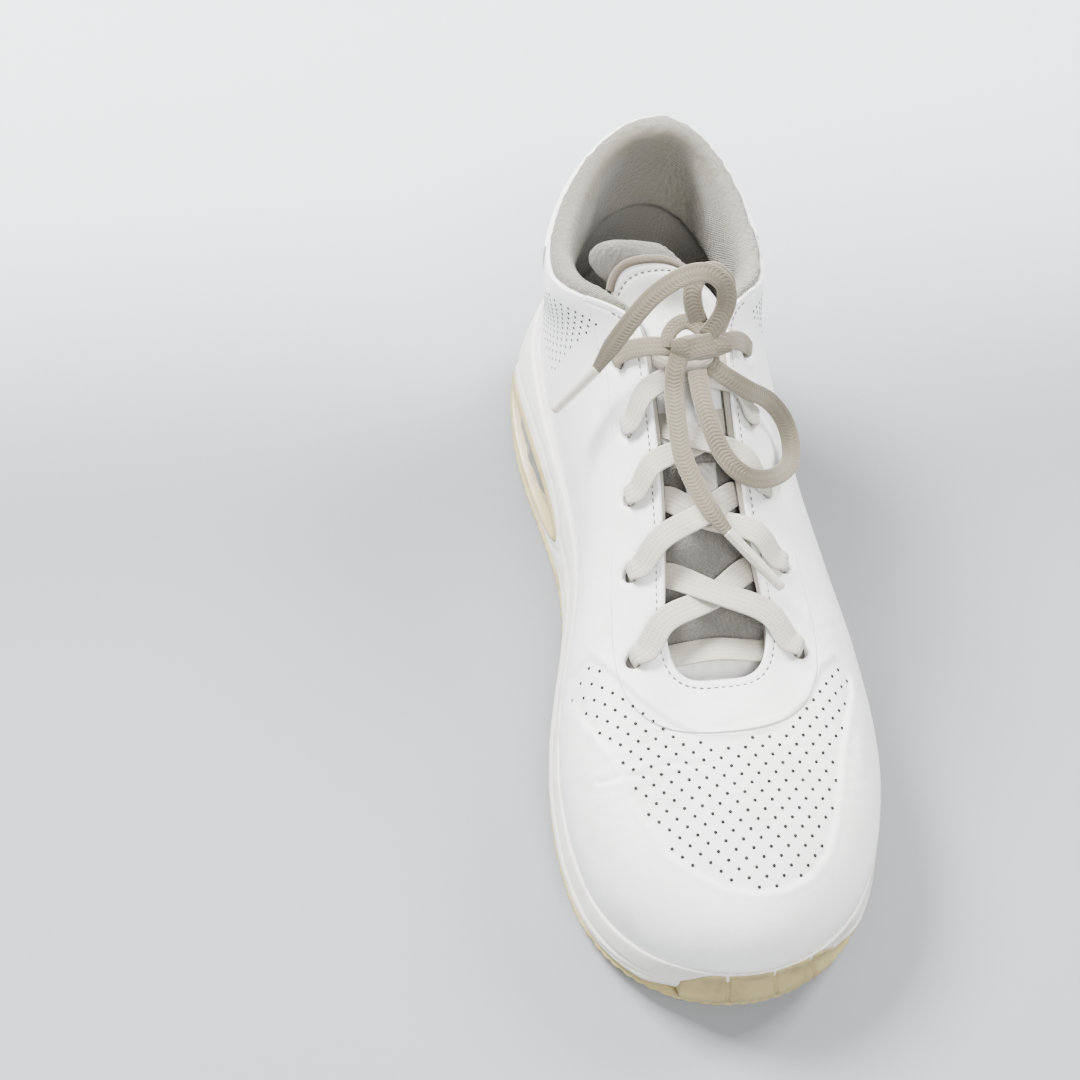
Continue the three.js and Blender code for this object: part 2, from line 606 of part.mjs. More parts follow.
function laceRun(fromSide, row, lift) {
  const start = (fromSide > 0 ? eyelets.lateral : eyelets.medial)[row];
  const end = (fromSide > 0 ? eyelets.medial : eyelets.lateral)[row - 1];
  const inward = start.edge.clone().sub(start.point).normalize();
  const y0 = EYELET_ROWS[row];
  const y1 = EYELET_ROWS[row - 1];
  const over = edgeSpot(fromSide, y0 + (y1 - y0) * 0.22, -2.6);
  const under = edgeSpot(-fromSide, y0 + (y1 - y0) * 0.8, 5.2);
  const near = edgeSpot(fromSide, y0 + (y1 - y0) * 0.5, 0).point;
  const far = edgeSpot(-fromSide, y0 + (y1 - y0) * 0.5, 0).point;
  const middle = near.lerp(far, 0.5);
  middle.z += lift;
  const back = end.edge.clone().sub(end.point).normalize();
  const { normal } = start;
  return strip({
    points: [
      start.point.clone().addScaledVector(normal, -5.4),
      start.point.clone().addScaledVector(normal, -1),
      start.point.clone().addScaledVector(normal, 2.4).addScaledVector(inward, 1),
      start.point.clone().addScaledVector(normal, 2.4).addScaledVector(inward, 5),
      over.point,
      middle,
      under.point,
      end.point.clone().addScaledVector(end.normal, -5.2).addScaledVector(back, 3.2),
    ],
    normals: [
      inward.clone().negate(), inward.clone().negate(), normal.clone().sub(inward), normal,
      over.normal, UP, under.normal, end.normal,
    ],
    halfWidths: [1.7, 1.7, 2.1, HALF, HALF, HALF, HALF, 3],
    thickness: LACE_THICK,
    steps: 13,
  });
}

for (let row = 4; row >= 1; row -= 1) {
  const overFromLateral = row % 2 === 0;
  add(`lace_${row}_lateral`, laceRun(1, row, overFromLateral ? 1.6 : -1), LACE, 0.85);
  add(`lace_${row}_medial`, laceRun(-1, row, overFromLateral ? -1 : 1.6), LACE, 0.85);
}

function eyeletExit({ point, normal, edge }) {
  const inward = edge.clone().sub(point).normalize();
  const at = (up, along) => point.clone().addScaledVector(normal, up).addScaledVector(inward, along);
  return { inward, points: [at(-5.4, 0), at(-1, 0), at(2.4, 1), at(2.4, 5)] };
}

// The last crossing starts under the bottom pair of eyelets and runs inside the throat.
const ends = [eyelets.lateral[4], eyelets.medial[4]].map(({ point, normal, edge }) => {
  const inward = edge.clone().sub(point).normalize();
  return point.clone().addScaledVector(normal, -6.1).addScaledVector(inward, 3.4);
});
const barMiddle = ends[0].clone().lerp(ends[1], 0.5).addScaledVector(UP, 4);
add('lace_bottom_bar', strip({
  points: [ends[0], ends[0].clone().lerp(barMiddle, 0.5), barMiddle,
    ends[1].clone().lerp(barMiddle, 0.5), ends[1]],
  normals: [eyelets.lateral[4].normal, UP, UP, UP, eyelets.medial[4].normal],
  halfWidths: [3, HALF, HALF, HALF, 3],
  thickness: LACE_THICK,
  steps: 8,
}), LACE, 0.85);

// Knot and the two runs that lead to it
const KNOT = new THREE.Vector3(2, 35.5, 113.2);
const KNOT_SIZE = [9.5, 6, 4.8];
function knotShape(extra) {
  const blob = welded(new THREE.SphereGeometry(1, 12, 8));
  blob.scale(...KNOT_SIZE.map((size) => size + extra));
  blob.rotateX(0.42);
  blob.translate(...KNOT.toArray());
  return toSolid(blob);
}
const clearOfKnot = (geometry) => toSolid(geometry).subtract(knotShape(GAP));
add('lace_knot', knotShape(0), 0xafa89b, 0.85);
const BOW_FACE = new THREE.Vector3(-0.15, -0.55, 0.82);
for (const [name, side] of [['lateral', 1], ['medial', -1]]) {
  const from = side > 0 ? eyelets.lateral[0] : eyelets.medial[0];
  const { inward, points } = eyeletExit(from);
  const knotSide = KNOT.clone().add(new THREE.Vector3(side * 6, 0, -1));
  const between = points[3].clone().lerp(knotSide, 0.55).addScaledVector(UP, 2.5);
  add(`lace_top_${name}`, clearOfKnot(strip({
    points: [...points, between, knotSide],
    normals: [inward.clone().negate(), inward.clone().negate(), from.normal.clone().sub(inward), from.normal, UP, UP],
    halfWidths: [1.7, 1.7, 2.1, HALF, HALF, 3],
    thickness: LACE_THICK,
    steps: 14,
  })), LACE, 0.85);
}

// Free parts of the bow: two loops and two tails, each tail ending in an aglet
const LOOP_UPPER = [
  [2.4, 41.9, 116.7], [0.3, 44.6, 121.8], [-0.1, 47.7, 126.4], [2, 50.7, 129.4], [6.6, 51.7, 130.2],
  [10.3, 50, 128], [11.2, 47.3, 122.6], [9.8, 44, 117], [7.2, 40, 113.4],
];
const LOOP_LOWER = [
  [4.4, 30.6, 110.2], [9, 27.1, 108.5], [16.6, 25.7, 102.8], [26.2, 28, 92.5], [32, 25.8, 84.2], [33.1, 18.6, 81.1],
  [29.9, 9.2, 82.7], [21.6, 1.3, 87.8], [14.1, -0.7, 91.8], [9.2, 1, 94.8], [5.4, 5.2, 98], [2.9, 10.4, 101.8],
  [1.2, 16.3, 105.2], [0.3, 22.3, 107.7], [0, 28.7, 110],
];
const TAIL_MEDIAL = [
  [3.7, 37.1, 116.4], [6.8, 38.8, 120], [9.2, 41, 123.9], [10, 43.1, 128], [8.2, 45.4, 132.2], [3.7, 47, 134.9],
  [-0.9, 46.9, 135.3], [-6.8, 45, 134.7], [-13.3, 43.3, 130.7], [-19.5, 41.1, 123.9], [-24.7, 40.9, 113.6],
  [-28.1, 43.1, 102],
];
const TAIL_FRONT = [
  [-5, 33, 112.9], [-6.8, 29.5, 110.6], [-7.6, 25, 106.8], [-7.8, 18.7, 103.7], [-7.6, 11.5, 100.6], [-7.3, 5.5, 98.2],
  [-6, 0.6, 96.2], [-3.6, -5.7, 93.6], [0, -12.6, 90.8], [4.9, -18.3, 87],
];
const cord = (points) => strip({
  points: points.map((p) => new THREE.Vector3(...p)),
  normals: points.map(() => BOW_FACE),
  halfWidths: points.map(() => CORD_WIDTH / 2),
  thickness: CORD_THICK,
  steps: 20,
  sides: 8,
});
const BOW = 0xafa89b;
add('bow_loop_upper', clearOfKnot(cord(LOOP_UPPER)), BOW, 0.85);
add('bow_loop_lower', clearOfKnot(cord(LOOP_LOWER)), BOW, 0.85);
add('bow_tail_medial', clearOfKnot(cord(TAIL_MEDIAL)), BOW, 0.85);
add('bow_tail_front', clearOfKnot(cord(TAIL_FRONT)), BOW, 0.85);
function aglet(name, tail, tip) {
  const last = new THREE.Vector3(...tail[tail.length - 1]);
  const end = new THREE.Vector3(...tip);
  const along = end.clone().sub(last).normalize();
  const length = end.distanceTo(last) - GAP;
  const tube = new THREE.CylinderGeometry(AGLET_RADIUS, AGLET_RADIUS, length, 10);
  tube.applyQuaternion(new THREE.Quaternion().setFromUnitVectors(new THREE.Vector3(0, 1, 0), along));
  const middle = last.addScaledVector(along, GAP + 0.6 + length / 2);
  tube.translate(...middle.toArray());
  add(name, welded(tube), 0xe9e6dd, 0.2);
}
aglet('aglet_medial', TAIL_MEDIAL, [-39, 48.5, 80]);
aglet('aglet_front', TAIL_FRONT, [20.5, -31.5, 75]);

// Lace keeper on the tongue
const keeperSpot = (i, j, lift) => tonguePoint(4, 4, 0).add(new THREE.Vector3(5 - 2.5 * j, 9 * i, lift + 3.8 * i));
const keeper = thickSheet((i, j) => keeperSpot(i, j, 2.2), (i, j) => keeperSpot(i, j, 1.2), 2, 5);
add('tongue_keeper', keeper, 0xb9b3a7, 0.9);

// Stand the shoe on z = 0 with its outline centred
const box = new THREE.Box3();
const BOW_NODES = /^(bow_|aglet_)/;
shoe.children.filter((mesh) => !BOW_NODES.test(mesh.name)).forEach((mesh) => box.expandByObject(mesh));
const centre = box.getCenter(new THREE.Vector3());
shoe.position.set(-centre.x, -centre.y, -box.min.z);

export default shoe;
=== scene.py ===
"""Left court shoe: finished leather, knit, foam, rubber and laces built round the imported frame."""
import math

import bmesh
import bpy
import numpy as np
from bpy.props import FloatProperty, FloatVectorProperty, PointerProperty
from bpy.types import Operator, Panel, PropertyGroup
from mathutils import Matrix, Vector
from mathutils.bvhtree import BVHTree


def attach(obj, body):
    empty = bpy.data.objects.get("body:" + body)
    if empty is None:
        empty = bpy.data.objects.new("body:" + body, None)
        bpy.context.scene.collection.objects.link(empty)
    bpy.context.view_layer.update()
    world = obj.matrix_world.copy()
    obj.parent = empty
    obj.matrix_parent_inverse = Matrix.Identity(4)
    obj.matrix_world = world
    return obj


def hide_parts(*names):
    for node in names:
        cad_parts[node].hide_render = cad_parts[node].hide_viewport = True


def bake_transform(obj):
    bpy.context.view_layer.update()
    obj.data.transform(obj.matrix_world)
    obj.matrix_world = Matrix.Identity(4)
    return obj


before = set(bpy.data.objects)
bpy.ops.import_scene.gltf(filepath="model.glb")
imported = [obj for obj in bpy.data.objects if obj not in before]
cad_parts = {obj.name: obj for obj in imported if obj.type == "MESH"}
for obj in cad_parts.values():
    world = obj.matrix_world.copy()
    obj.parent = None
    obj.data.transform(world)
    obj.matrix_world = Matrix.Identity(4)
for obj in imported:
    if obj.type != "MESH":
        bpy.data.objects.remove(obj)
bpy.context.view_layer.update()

bl_info = {
    "name": "Court shoe",
    "version": (1, 0, 0),
    "blender": (4, 5, 0),
    "location": "View3D > Sidebar > Shoe",
    "description": "Builds the pieces of a left court shoe",
    "category": "Add Mesh",
}

CENTRE = np.array([-1.4668, 0.15, 0.0])  # from the last's own axes to the middle of the shoe, mm
OUTSOLE = 3.4  # thickness of the rubber, mm
WINDOW_Y, WINDOW_Z, WINDOW_LONG, WINDOW_TALL = 68.0, 20.0, 36.0, 8.0

# ---------------------------------------------------------------- the last
OUTLINE = [
    (-2, -141), (20, -135), (39, -118), (51, -90), (55.5, -58), (54, -28), (50, 2), (47.5, 32),
    (47, 62), (45, 90), (38, 116), (21, 135), (0, 141), (-21, 135), (-38, 116), (-44.5, 92),
    (-43, 62), (-38.5, 32), (-38.5, 4), (-45.5, -26), (-51.5, -56), (-52, -88), (-44.5, -116), (-26, -135),
]
TOPLINE = [
    (-1, -55, 61), (7, -54.5, 61), (13, -50, 63), (15.5, -38, 68), (14, -20, 77), (13, 0, 86.5),
    (12.5, 20, 95.5), (13, 40, 104), (15.5, 53, 109), (26, 64, 107.5), (33.5, 86, 100), (26, 123, 106.5),
    (2, 136, 115), (-24.5, 122.5, 104.5), (-39, 86, 101), (-30, 64, 107.5), (-17, 53, 109), (-14, 40, 104),
    (-13.5, 20, 95.5), (-14, 0, 86.5), (-15, -20, 77), (-16.5, -38, 68), (-15, -50, 63), (-9, -54.5, 61),
]
SWELL = [
    (2, 26, 46, 6), (2, 26, 42, 6), (3, 26, 36, 7), (4, 24, 30, 10), (4, 24, 24, 12), (3, 26, 20, 15),
    (3, 26, 18, 18), (2, 28, 16, 20), (0, 28, 16, 18), (-1, 24, 9, 18), (-1, 20, 2, 20), (0, 20, 0, 20),
    (1, 22, 1, 24),
]
SOLE_TOP = [(-140, 27), (-125, 22.5), (-100, 19.5), (-60, 19), (-20, 23), (20, 30), (60, 37),
            (100, 42.5), (140, 46)]
SOLE_BOTTOM = [(-140, 6.5), (-120, 3.2), (-95, 0.8), (-75, 0), (-70, 0), (95, 0), (100, 0),
               (125, 0.8), (140, 4)]
SOLE_INSET = [(-140, 3), (-60, 3), (20, 5), (80, 8), (140, 7)]
EYELET_ROWS = [46, 24.5, 3, -19, -42]
EYELET_IN, EYELET_RADIUS = 12.5, 2.9  # eyelets below the throat edge, mm
THROAT_SEAM = 2.6  # seam below the throat edge, mm
FOOT_EDGE = 0.012  # where the leather starts above the sole, as a share of its height
# Edge of the perforated, slightly sunk part of the vamp, seen from above
VAMP_PANEL = [
    (-40, -40), (-45, -41), (-47, -48), (-43.5, -62), (-38.5, -72), (-35, -82), (-33, -91), (-28.5, -100),
    (-26, -107), (-18, -114), (-10, -119.5), (-1, -122), (9, -121), (17, -117.5), (23.5, -111), (27, -103),
    (30, -93), (33, -82), (37.5, -69), (42, -58), (42.5, -52), (38, -48), (32, -53), (26, -63), (17, -70),
    (8, -73), (-1, -74), (-10, -73), (-19, -67), (-27, -59), (-34, -49),
]


def profile(stations, x):
    """Smooth curve through (x, y) stations, level beyond the ends."""
    xs, ys = (np.array(column, float) for column in zip(*stations))
    slopes = np.gradient(ys, xs)
    x = np.clip(x, xs[0], xs[-1])
    i = np.clip(np.searchsorted(xs, x) - 1, 0, len(xs) - 2)
    h = xs[i + 1] - xs[i]
    s = (x - xs[i]) / h
    return ((1 + 2 * s) * (1 - s) ** 2 * ys[i] + s * (1 - s) ** 2 * h * slopes[i]
            + s * s * (3 - 2 * s) * ys[i + 1] + s * s * (s - 1) * h * slopes[i + 1])


def closed_spline(points):
    """Closed cubic B-spline through the points; the parameter counts points."""
    points = np.array(points, float)
    control = points.copy()
    n = len(points)
    for _ in range(60):
        for i in range(n):
            control[i] = (6 * points[i] - control[i - 1] - control[(i + 1) % n]) / 4

    def at(t):
        t = np.asarray(t, float)
        i = np.floor(t).astype(int)
        f = (t - i)[..., None]
        c = [control[(i + k) % n] for k in (-1, 0, 1, 2)]
        return ((1 - f) ** 3 * c[0] + (3 * f ** 3 - 6 * f * f + 4) * c[1]
                + (-3 * f ** 3 + 3 * f * f + 3 * f + 1) * c[2] + f ** 3 * c[3]) / 6
    return at


outline_at = closed_spline(OUTLINE)
topline_at = closed_spline(TOPLINE)
swell_at = closed_spline(SWELL + SWELL[1:12][::-1])
UP = np.array([0.0, 0.0, 1.0])


def unit(v):
    """Directions of length one."""
    return v / np.maximum(np.linalg.norm(v, axis=-1, keepdims=True), 1e-9)


def smoothstep(a, b, x):
    """0 below a, 1 above b, smooth between; the other way round where b is below a."""
    s = np.clip((x - a) / (b - a), 0, 1)
    return s * s * (3 - 2 * s)


def outward(t):
    """Level direction out from the shoe at that place round the outline."""
    d = outline_at(np.asarray(t) + 0.01) - outline_at(np.asarray(t) - 0.01)
    flat = np.stack([d[..., 1], -d[..., 0]], -1)
    return np.concatenate([unit(flat), np.zeros(flat.shape[:-1] + (1,))], -1)


def sole_ring(t, inset):
    """Outline of the sole drawn in by inset, at height 0."""
    t = np.asarray(t, float)
    flat = outline_at(t)
    point = np.concatenate([flat, np.zeros(flat.shape[:-1] + (1,))], -1)
    return point - outward(t) * np.asarray(inset)[..., None]


def feather_inset(t):
    """How far the leather meets the sole inside its outline."""
    return profile(SOLE_INSET, outline_at(t)[..., 1])


def feather_line(t):
    """Line where the leather meets the sole."""
    point = sole_ring(t, feather_inset(t))
    point[..., 2] = profile(SOLE_TOP, point[..., 1])
    return point


def upper_surface(t, h):
    """Last under the leather: t runs round the shoe, h from the sole at 0 to the top edge at 1."""
    t, h = np.broadcast_arrays(np.asarray(t, float), np.asarray(h, float))
    foot, top = feather_line(t), topline_at(t)
    a, b, c, d = (s[..., None] for s in np.moveaxis(swell_at(t), -1, 0))
    out = outward(t)
    low, high = foot + out * a + UP * b, top + out * c - UP * d
    h = h[..., None]
    return (1 - h) ** 3 * foot + 3 * h * (1 - h) ** 2 * low + 3 * h * h * (1 - h) * high + h ** 3 * top


def upper_normal(t, h):
    """Direction out of the leather."""
    h = np.clip(h, 0.001, 0.999)
    along = upper_surface(t + 0.01, h) - upper_surface(t - 0.01, h)
    rise = upper_surface(t, h + 0.001) - upper_surface(t, h - 0.001)
    return unit(np.cross(along, rise))


def upper_point(t, h, depth):
    """Point that deep inside the outer face of the leather."""
    t, h = np.broadcast_arrays(np.asarray(t, float), np.asarray(h, float))
    return upper_surface(t, h) - upper_normal(t, h) * np.broadcast_to(depth, t.shape)[..., None]


def below_edge(t, distance):
    """The h a distance below the throat or collar edge, along the leather."""
    t = np.atleast_1d(np.asarray(t, float))
    hs = np.linspace(1, 0, 161)
    points = upper_surface(t[:, None], hs[None, :])
    steps = np.linalg.norm(np.diff(points, axis=1), axis=2)
    walked = np.concatenate([np.zeros((len(t), 1)), np.cumsum(steps, 1)], 1)
    distance = np.broadcast_to(distance, t.shape)
    return np.array([np.interp(distance[i], walked[i], hs) for i in range(len(t))])


def wrap(t):
    """Steps round the outline from the toe, the same on both sides."""
    t = np.mod(t, 24)
    return np.minimum(t, 24 - t)


def polygon_distance(x, y, corners):
    """Signed distance to a closed outline, negative inside."""
    corners = np.array(corners, float)
    best = np.full(x.shape, 1e9)
    inside = np.zeros(x.shape, bool)
    for a, b in zip(corners, np.roll(corners, -1, 0)):
        e = b - a
        s = np.clip(((x - a[0]) * e[0] + (y - a[1]) * e[1]) / (e @ e), 0, 1)
        best = np.minimum(best, np.hypot(x - a[0] - s * e[0], y - a[1] - s * e[1]))
        crosses = (a[1] > y) != (b[1] > y)
        with np.errstate(divide="ignore", invalid="ignore"):
            inside ^= crosses & (x < (b[0] - a[0]) * (y - a[1]) / (b[1] - a[1]) + a[0])
    return np.where(inside, -best, best)


def line_distance(points, line):
    """Distance from each point to a chain of 3-D points."""
    best = np.full(points.shape[:-1], 1e9)
    for a, b in zip(np.array(line[:-1], float), np.array(line[1:], float)):
        e = b - a
        s = np.clip(((points - a) @ e) / (e @ e), 0, 1)
        best = np.minimum(best, np.linalg.norm(points - a - s[..., None] * e, axis=-1))
    return best


def soft_noise(p, size, seed=0.0):
    """Smooth pseudo-random value from -1 to 1 with features of about that size, in mm."""
    q = p * (2 * math.pi / size)
    x, y, z = q[..., 0], q[..., 1], q[..., 2]
    return (np.sin(x + 1.7 * np.sin(0.63 * y + seed) + seed)
            * np.sin(0.83 * y + 1.3 * np.sin(0.71 * z - seed) + 2 * seed)
            + 0.6 * np.sin(1.31 * z + 0.9 * np.sin(1.13 * x + seed) - seed)) / 1.6


# ---------------------------------------------------------------- mesh making
def to_world(points):
    """Metres in the shared frame from shoe millimetres."""
    return (np.asarray(points) + CENTRE) / 1000.0


def piece_name(words):
    """Name of a piece in lower case, with underscores."""
    return words.lower().replace(" ", "_")


def make_mesh(name, points, faces, uv=None):
    """Object from shoe-millimetre points; uv is one pair per point."""
    name = piece_name(name)
    mesh = bpy.data.meshes.new(name)
    mesh.from_pydata(to_world(points).tolist(), [], [tuple(int(i) for i in f) for f in faces])
    if uv is not None:
        layer = mesh.uv_layers.new(name="UVMap")
        ids = np.empty(len(mesh.loops), np.int32)
        mesh.loops.foreach_get("vertex_index", ids)
        layer.data.foreach_set("uv", np.asarray(uv, np.float32)[ids].ravel())
    mesh.shade_smooth()
    mesh.validate()
    obj = bpy.data.objects.new(name, mesh)
    bpy.context.scene.collection.objects.link(obj)
    return obj


def thick_sheet(name, outer, inner, uv):
    """Closed sheet between two grids of points."""
    rows, cols = outer.shape[:2]
    points = np.concatenate([outer.reshape(-1, 3), inner.reshape(-1, 3)])
    n = rows * cols
    ids = np.arange(n).reshape(rows, cols)
    quads = [np.stack([ids[:-1, :-1], ids[1:, :-1], ids[1:, 1:], ids[:-1, 1:]], -1).reshape(-1, 4)]
    quads.append(quads[0][:, ::-1] + n)
    for edge in (ids[::-1, 0], ids[:, -1], ids[0], ids[-1, ::-1]):
        quads.append(np.stack([edge[:-1], edge[1:], edge[1:] + n, edge[:-1] + n], -1))
    return make_mesh(name, points, np.concatenate(quads), np.concatenate([uv.reshape(-1, 2)] * 2))


def tube_faces(rows, cols):
    """Quads between rings of points, each ring closed on itself."""
    ids = np.arange(rows * cols).reshape(rows, cols)
    here, after = ids[:-1], ids[1:]
    quads = np.stack([here, after, np.roll(after, -1, 1), np.roll(here, -1, 1)], -1)
    return quads.reshape(-1, 4).tolist(), ids[0].tolist(), ids[-1].tolist()


def finish_piece(obj, finish, body, *nodes):
    """Gives a piece its finish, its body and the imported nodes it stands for."""
    obj.data.materials.clear()
    obj.data.materials.append(finish_named(finish))
    if body == "ball of the foot":
        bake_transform(obj)
    else:
        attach(obj, body)
    if nodes:
        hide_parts(*nodes)
    return obj


def bend_piece(obj, finish, *nodes):
    """Like finish_piece, for one that bends at the ball of the foot."""
    return finish_piece(obj, finish, "ball of the foot", *nodes)


def sheet_quads(rows, cols, joined):
    """Quads of a grid of points; joined closes the last row on the first."""
    ids = np.arange(rows * cols).reshape(rows, cols)
    after = np.roll(ids, -1, 0) if joined else ids[1:]
    here = ids if joined else ids[:-1]
    return np.stack([here[:, :-1], after[:, :-1], after[:, 1:], here[:, 1:]], -1).reshape(-1, 4)


def open_sheet(name, grid, joined=False, flip=False):
    """One-sided sheet through a grid of points, facing out when rows run round and columns run up."""
    quads = sheet_quads(*grid.shape[:2], joined)
    return make_mesh(name, grid.reshape(-1, 3), quads[:, ::-1] if flip else quads)


def leather_grid(ts, low, high, rows, thickness=1.4, start=0.0, relief=None, ends=True, roll=0.4):
    """Grid over the last with edges rolled in, as cut leather has; relief gives extra depth."""
    ts = np.asarray(ts, float)
    base = np.linspace(0, 1, rows)
    length = np.linalg.norm(upper_surface(ts, high) - upper_surface(ts, low), axis=1)
    inset = np.clip(0.45 / np.maximum(length, 1), 0, 0.2)[:, None]
    across = np.concatenate([base[:1], base[:1], [0], base[1:-1], [1], base[-1:], base[-1:]])
    across = across[None].repeat(len(ts), 0)
    across[:, 2], across[:, -3] = inset[:, 0], 1 - inset[:, 0]
    depth = np.zeros(len(base) + 4)
    depth[:3], depth[-3:] = [thickness, roll, 0.15 * roll], [0.15 * roll, roll, thickness]
    depth = depth[None].repeat(len(ts), 0)
    if ends:
        ts = np.concatenate([ts[:1], ts[:1], ts, ts[-1:], ts[-1:]])
        across = np.concatenate([across[:1], across[:1], across, across[-1:], across[-1:]])
        low = np.concatenate([low[:1], low[:1], low, low[-1:], low[-1:]])
        high = np.concatenate([high[:1], high[:1], high, high[-1:], high[-1:]])
        depth = np.concatenate([depth[:1], depth[:1], depth, depth[-1:], depth[-1:]])
        depth[[0, -1]] = thickness
        depth[[1, -2]] = np.maximum(depth[[1, -2]], 0.4)
    h = low[:, None] + (high - low)[:, None] * across
    t = ts[:, None].repeat(h.shape[1], 1)
    points = upper_surface(t, h)
    extra = start + depth
    if relief is not None:
        extra = extra + relief(points, t, h)
    return points - upper_normal(t, h) * extra[..., None]


def catmull(points, u):
    """Centripetal curve through points, u from 0 to 1 over equal spans."""
    p = np.array(points, float)
    n = len(p)
    p = np.concatenate([[2 * p[0] - p[1]], p, [2 * p[-1] - p[-2]]])
    u = np.clip(np.asarray(u, float), 0, 1) * (n - 1)
    i = np.clip(np.floor(u).astype(int), 0, n - 2)
    f = (u - i)[..., None]
    a, b, c, d = p[i], p[i + 1], p[i + 2], p[i + 3]
    gap = lambda start, end: np.sqrt(np.maximum(np.linalg.norm(end - start, axis=-1, keepdims=True), 1e-6))
    d0, d1, d2 = gap(a, b), gap(b, c), gap(c, d)
    t1 = ((b - a) / d0 - (c - a) / (d0 + d1) + (c - b) / d1) * d1
    t2 = ((c - b) / d1 - (d - b) / (d1 + d2) + (d - c) / d2) * d1
    return b + t1 * f + (-3 * b + 3 * c - 2 * t1 - t2) * f ** 2 + (2 * b - 2 * c + t1 + t2) * f ** 3


def through(a, b, c, d, f):
    """Point at f from 0 to 1 between b and c, on the even curve through all four."""
    return b + 0.5 * f * (c - a + f * (2 * a - 5 * b + 4 * c - d + f * (3 * (b - c) + d - a)))


def spaced(points, count):
    """Points at equal steps along the curve."""
    fine = catmull(points, np.linspace(0, 1, 400))
    walked = np.concatenate([[0], np.cumsum(np.linalg.norm(np.diff(fine, axis=0), axis=1))])
    at = np.linspace(0, walked[-1], count)
    return np.stack([np.interp(at, walked, fine[:, k]) for k in range(3)], -1)


def ribbon(name, points, normals, half_widths, thickness, steps, sides=16, power=0.45):
    """Flat lace along a curve; u counts millimetres along it and v goes round it."""
    points, normals = np.array(points, float), unit(np.array(normals, float))
    u = np.linspace(0, 1, steps + 1)
    centre = catmull(points, u)
    along = unit(np.gradient(centre, axis=0))
    spans = len(points) - 1
    k = np.minimum((u * spans).astype(int), spans - 1)
    f = (u * spans - k)[:, None]
    face = unit(normals[k] * (1 - f) + normals[k + 1] * f)
    side = unit(np.cross(along, face))
    top = unit(np.cross(side, along))
    halves = np.array(half_widths, float)
    half = halves[k] * (1 - f[:, 0]) + halves[k + 1] * f[:, 0]
    a = np.arange(sides) * 2 * math.pi / sides
    squared = lambda v: np.sign(v) * np.abs(v) ** power
    rings = (centre[:, None] + side[:, None] * (half[:, None] * squared(np.cos(a)))[..., None]
             + top[:, None] * ((thickness / 2) * squared(np.sin(a)))[None, :, None])
    n = steps + 1
    quads, first, last = tube_faces(n, sides)
    quads += [first, last[::-1]]
    walked = np.concatenate([[0], np.cumsum(np.linalg.norm(np.diff(centre, axis=0), axis=1))])
    uv = np.stack(np.broadcast_arrays(walked[:, None], half[:, None] * np.cos(a)), -1)
    return flip_if_inside_out(make_mesh(name, rings.reshape(-1, 3), quads, uv.reshape(-1, 2))), centre


def flip_if_inside_out(obj):
    """Turns a closed piece's faces outwards."""
    mesh = bmesh.new()
    mesh.from_mesh(obj.data)
    if mesh.calc_volume(signed=True) < 0:
        bmesh.ops.reverse_faces(mesh, faces=mesh.faces)
    mesh.to_mesh(obj.data)
    mesh.free()
    return obj


PLUMP_FRAMES = 12


def plump(obj, limit):
    """Fills a padded piece out with the cloth solver and keeps every point near where it started."""
    remesh = obj.modifiers.new("Even mesh", "REMESH")
    remesh.mode, remesh.voxel_size, remesh.use_smooth_shade = "VOXEL", 0.0022, True
    settle(obj)
    before = np.array([v.co for v in obj.data.vertices])
    cloth = obj.modifiers.new("Padding", "CLOTH")
    cloth.settings.effector_weights.gravity = 0
    cloth.settings.use_pressure = True
    cloth.settings.uniform_pressure_force = 3.0
    cloth.settings.quality = 5
    cloth.point_cache.frame_start, cloth.point_cache.frame_end = 1, PLUMP_FRAMES
    scene = bpy.context.scene
    for step in range(1, PLUMP_FRAMES + 1):
        scene.frame_set(step)
    after = np.array([v.co for v in obj.evaluated_get(bpy.context.evaluated_depsgraph_get()).data.vertices])
    obj.modifiers.remove(cloth)
    scene.frame_set(1)
    move = after - before
    size = np.linalg.norm(move, axis=1, keepdims=True)
    after = before + move * np.minimum(1, limit / np.maximum(size, 1e-9))
    obj.data.vertices.foreach_set("co", after.ravel())
    obj.data.update()
    obj.data.shade_smooth()
    return obj


def settle(obj):
    """Applies the piece's modifiers."""
    mesh = bpy.data.meshes.new_from_object(obj.evaluated_get(bpy.context.evaluated_depsgraph_get()))
    obj.modifiers.clear()
    obj.data = mesh
    return obj


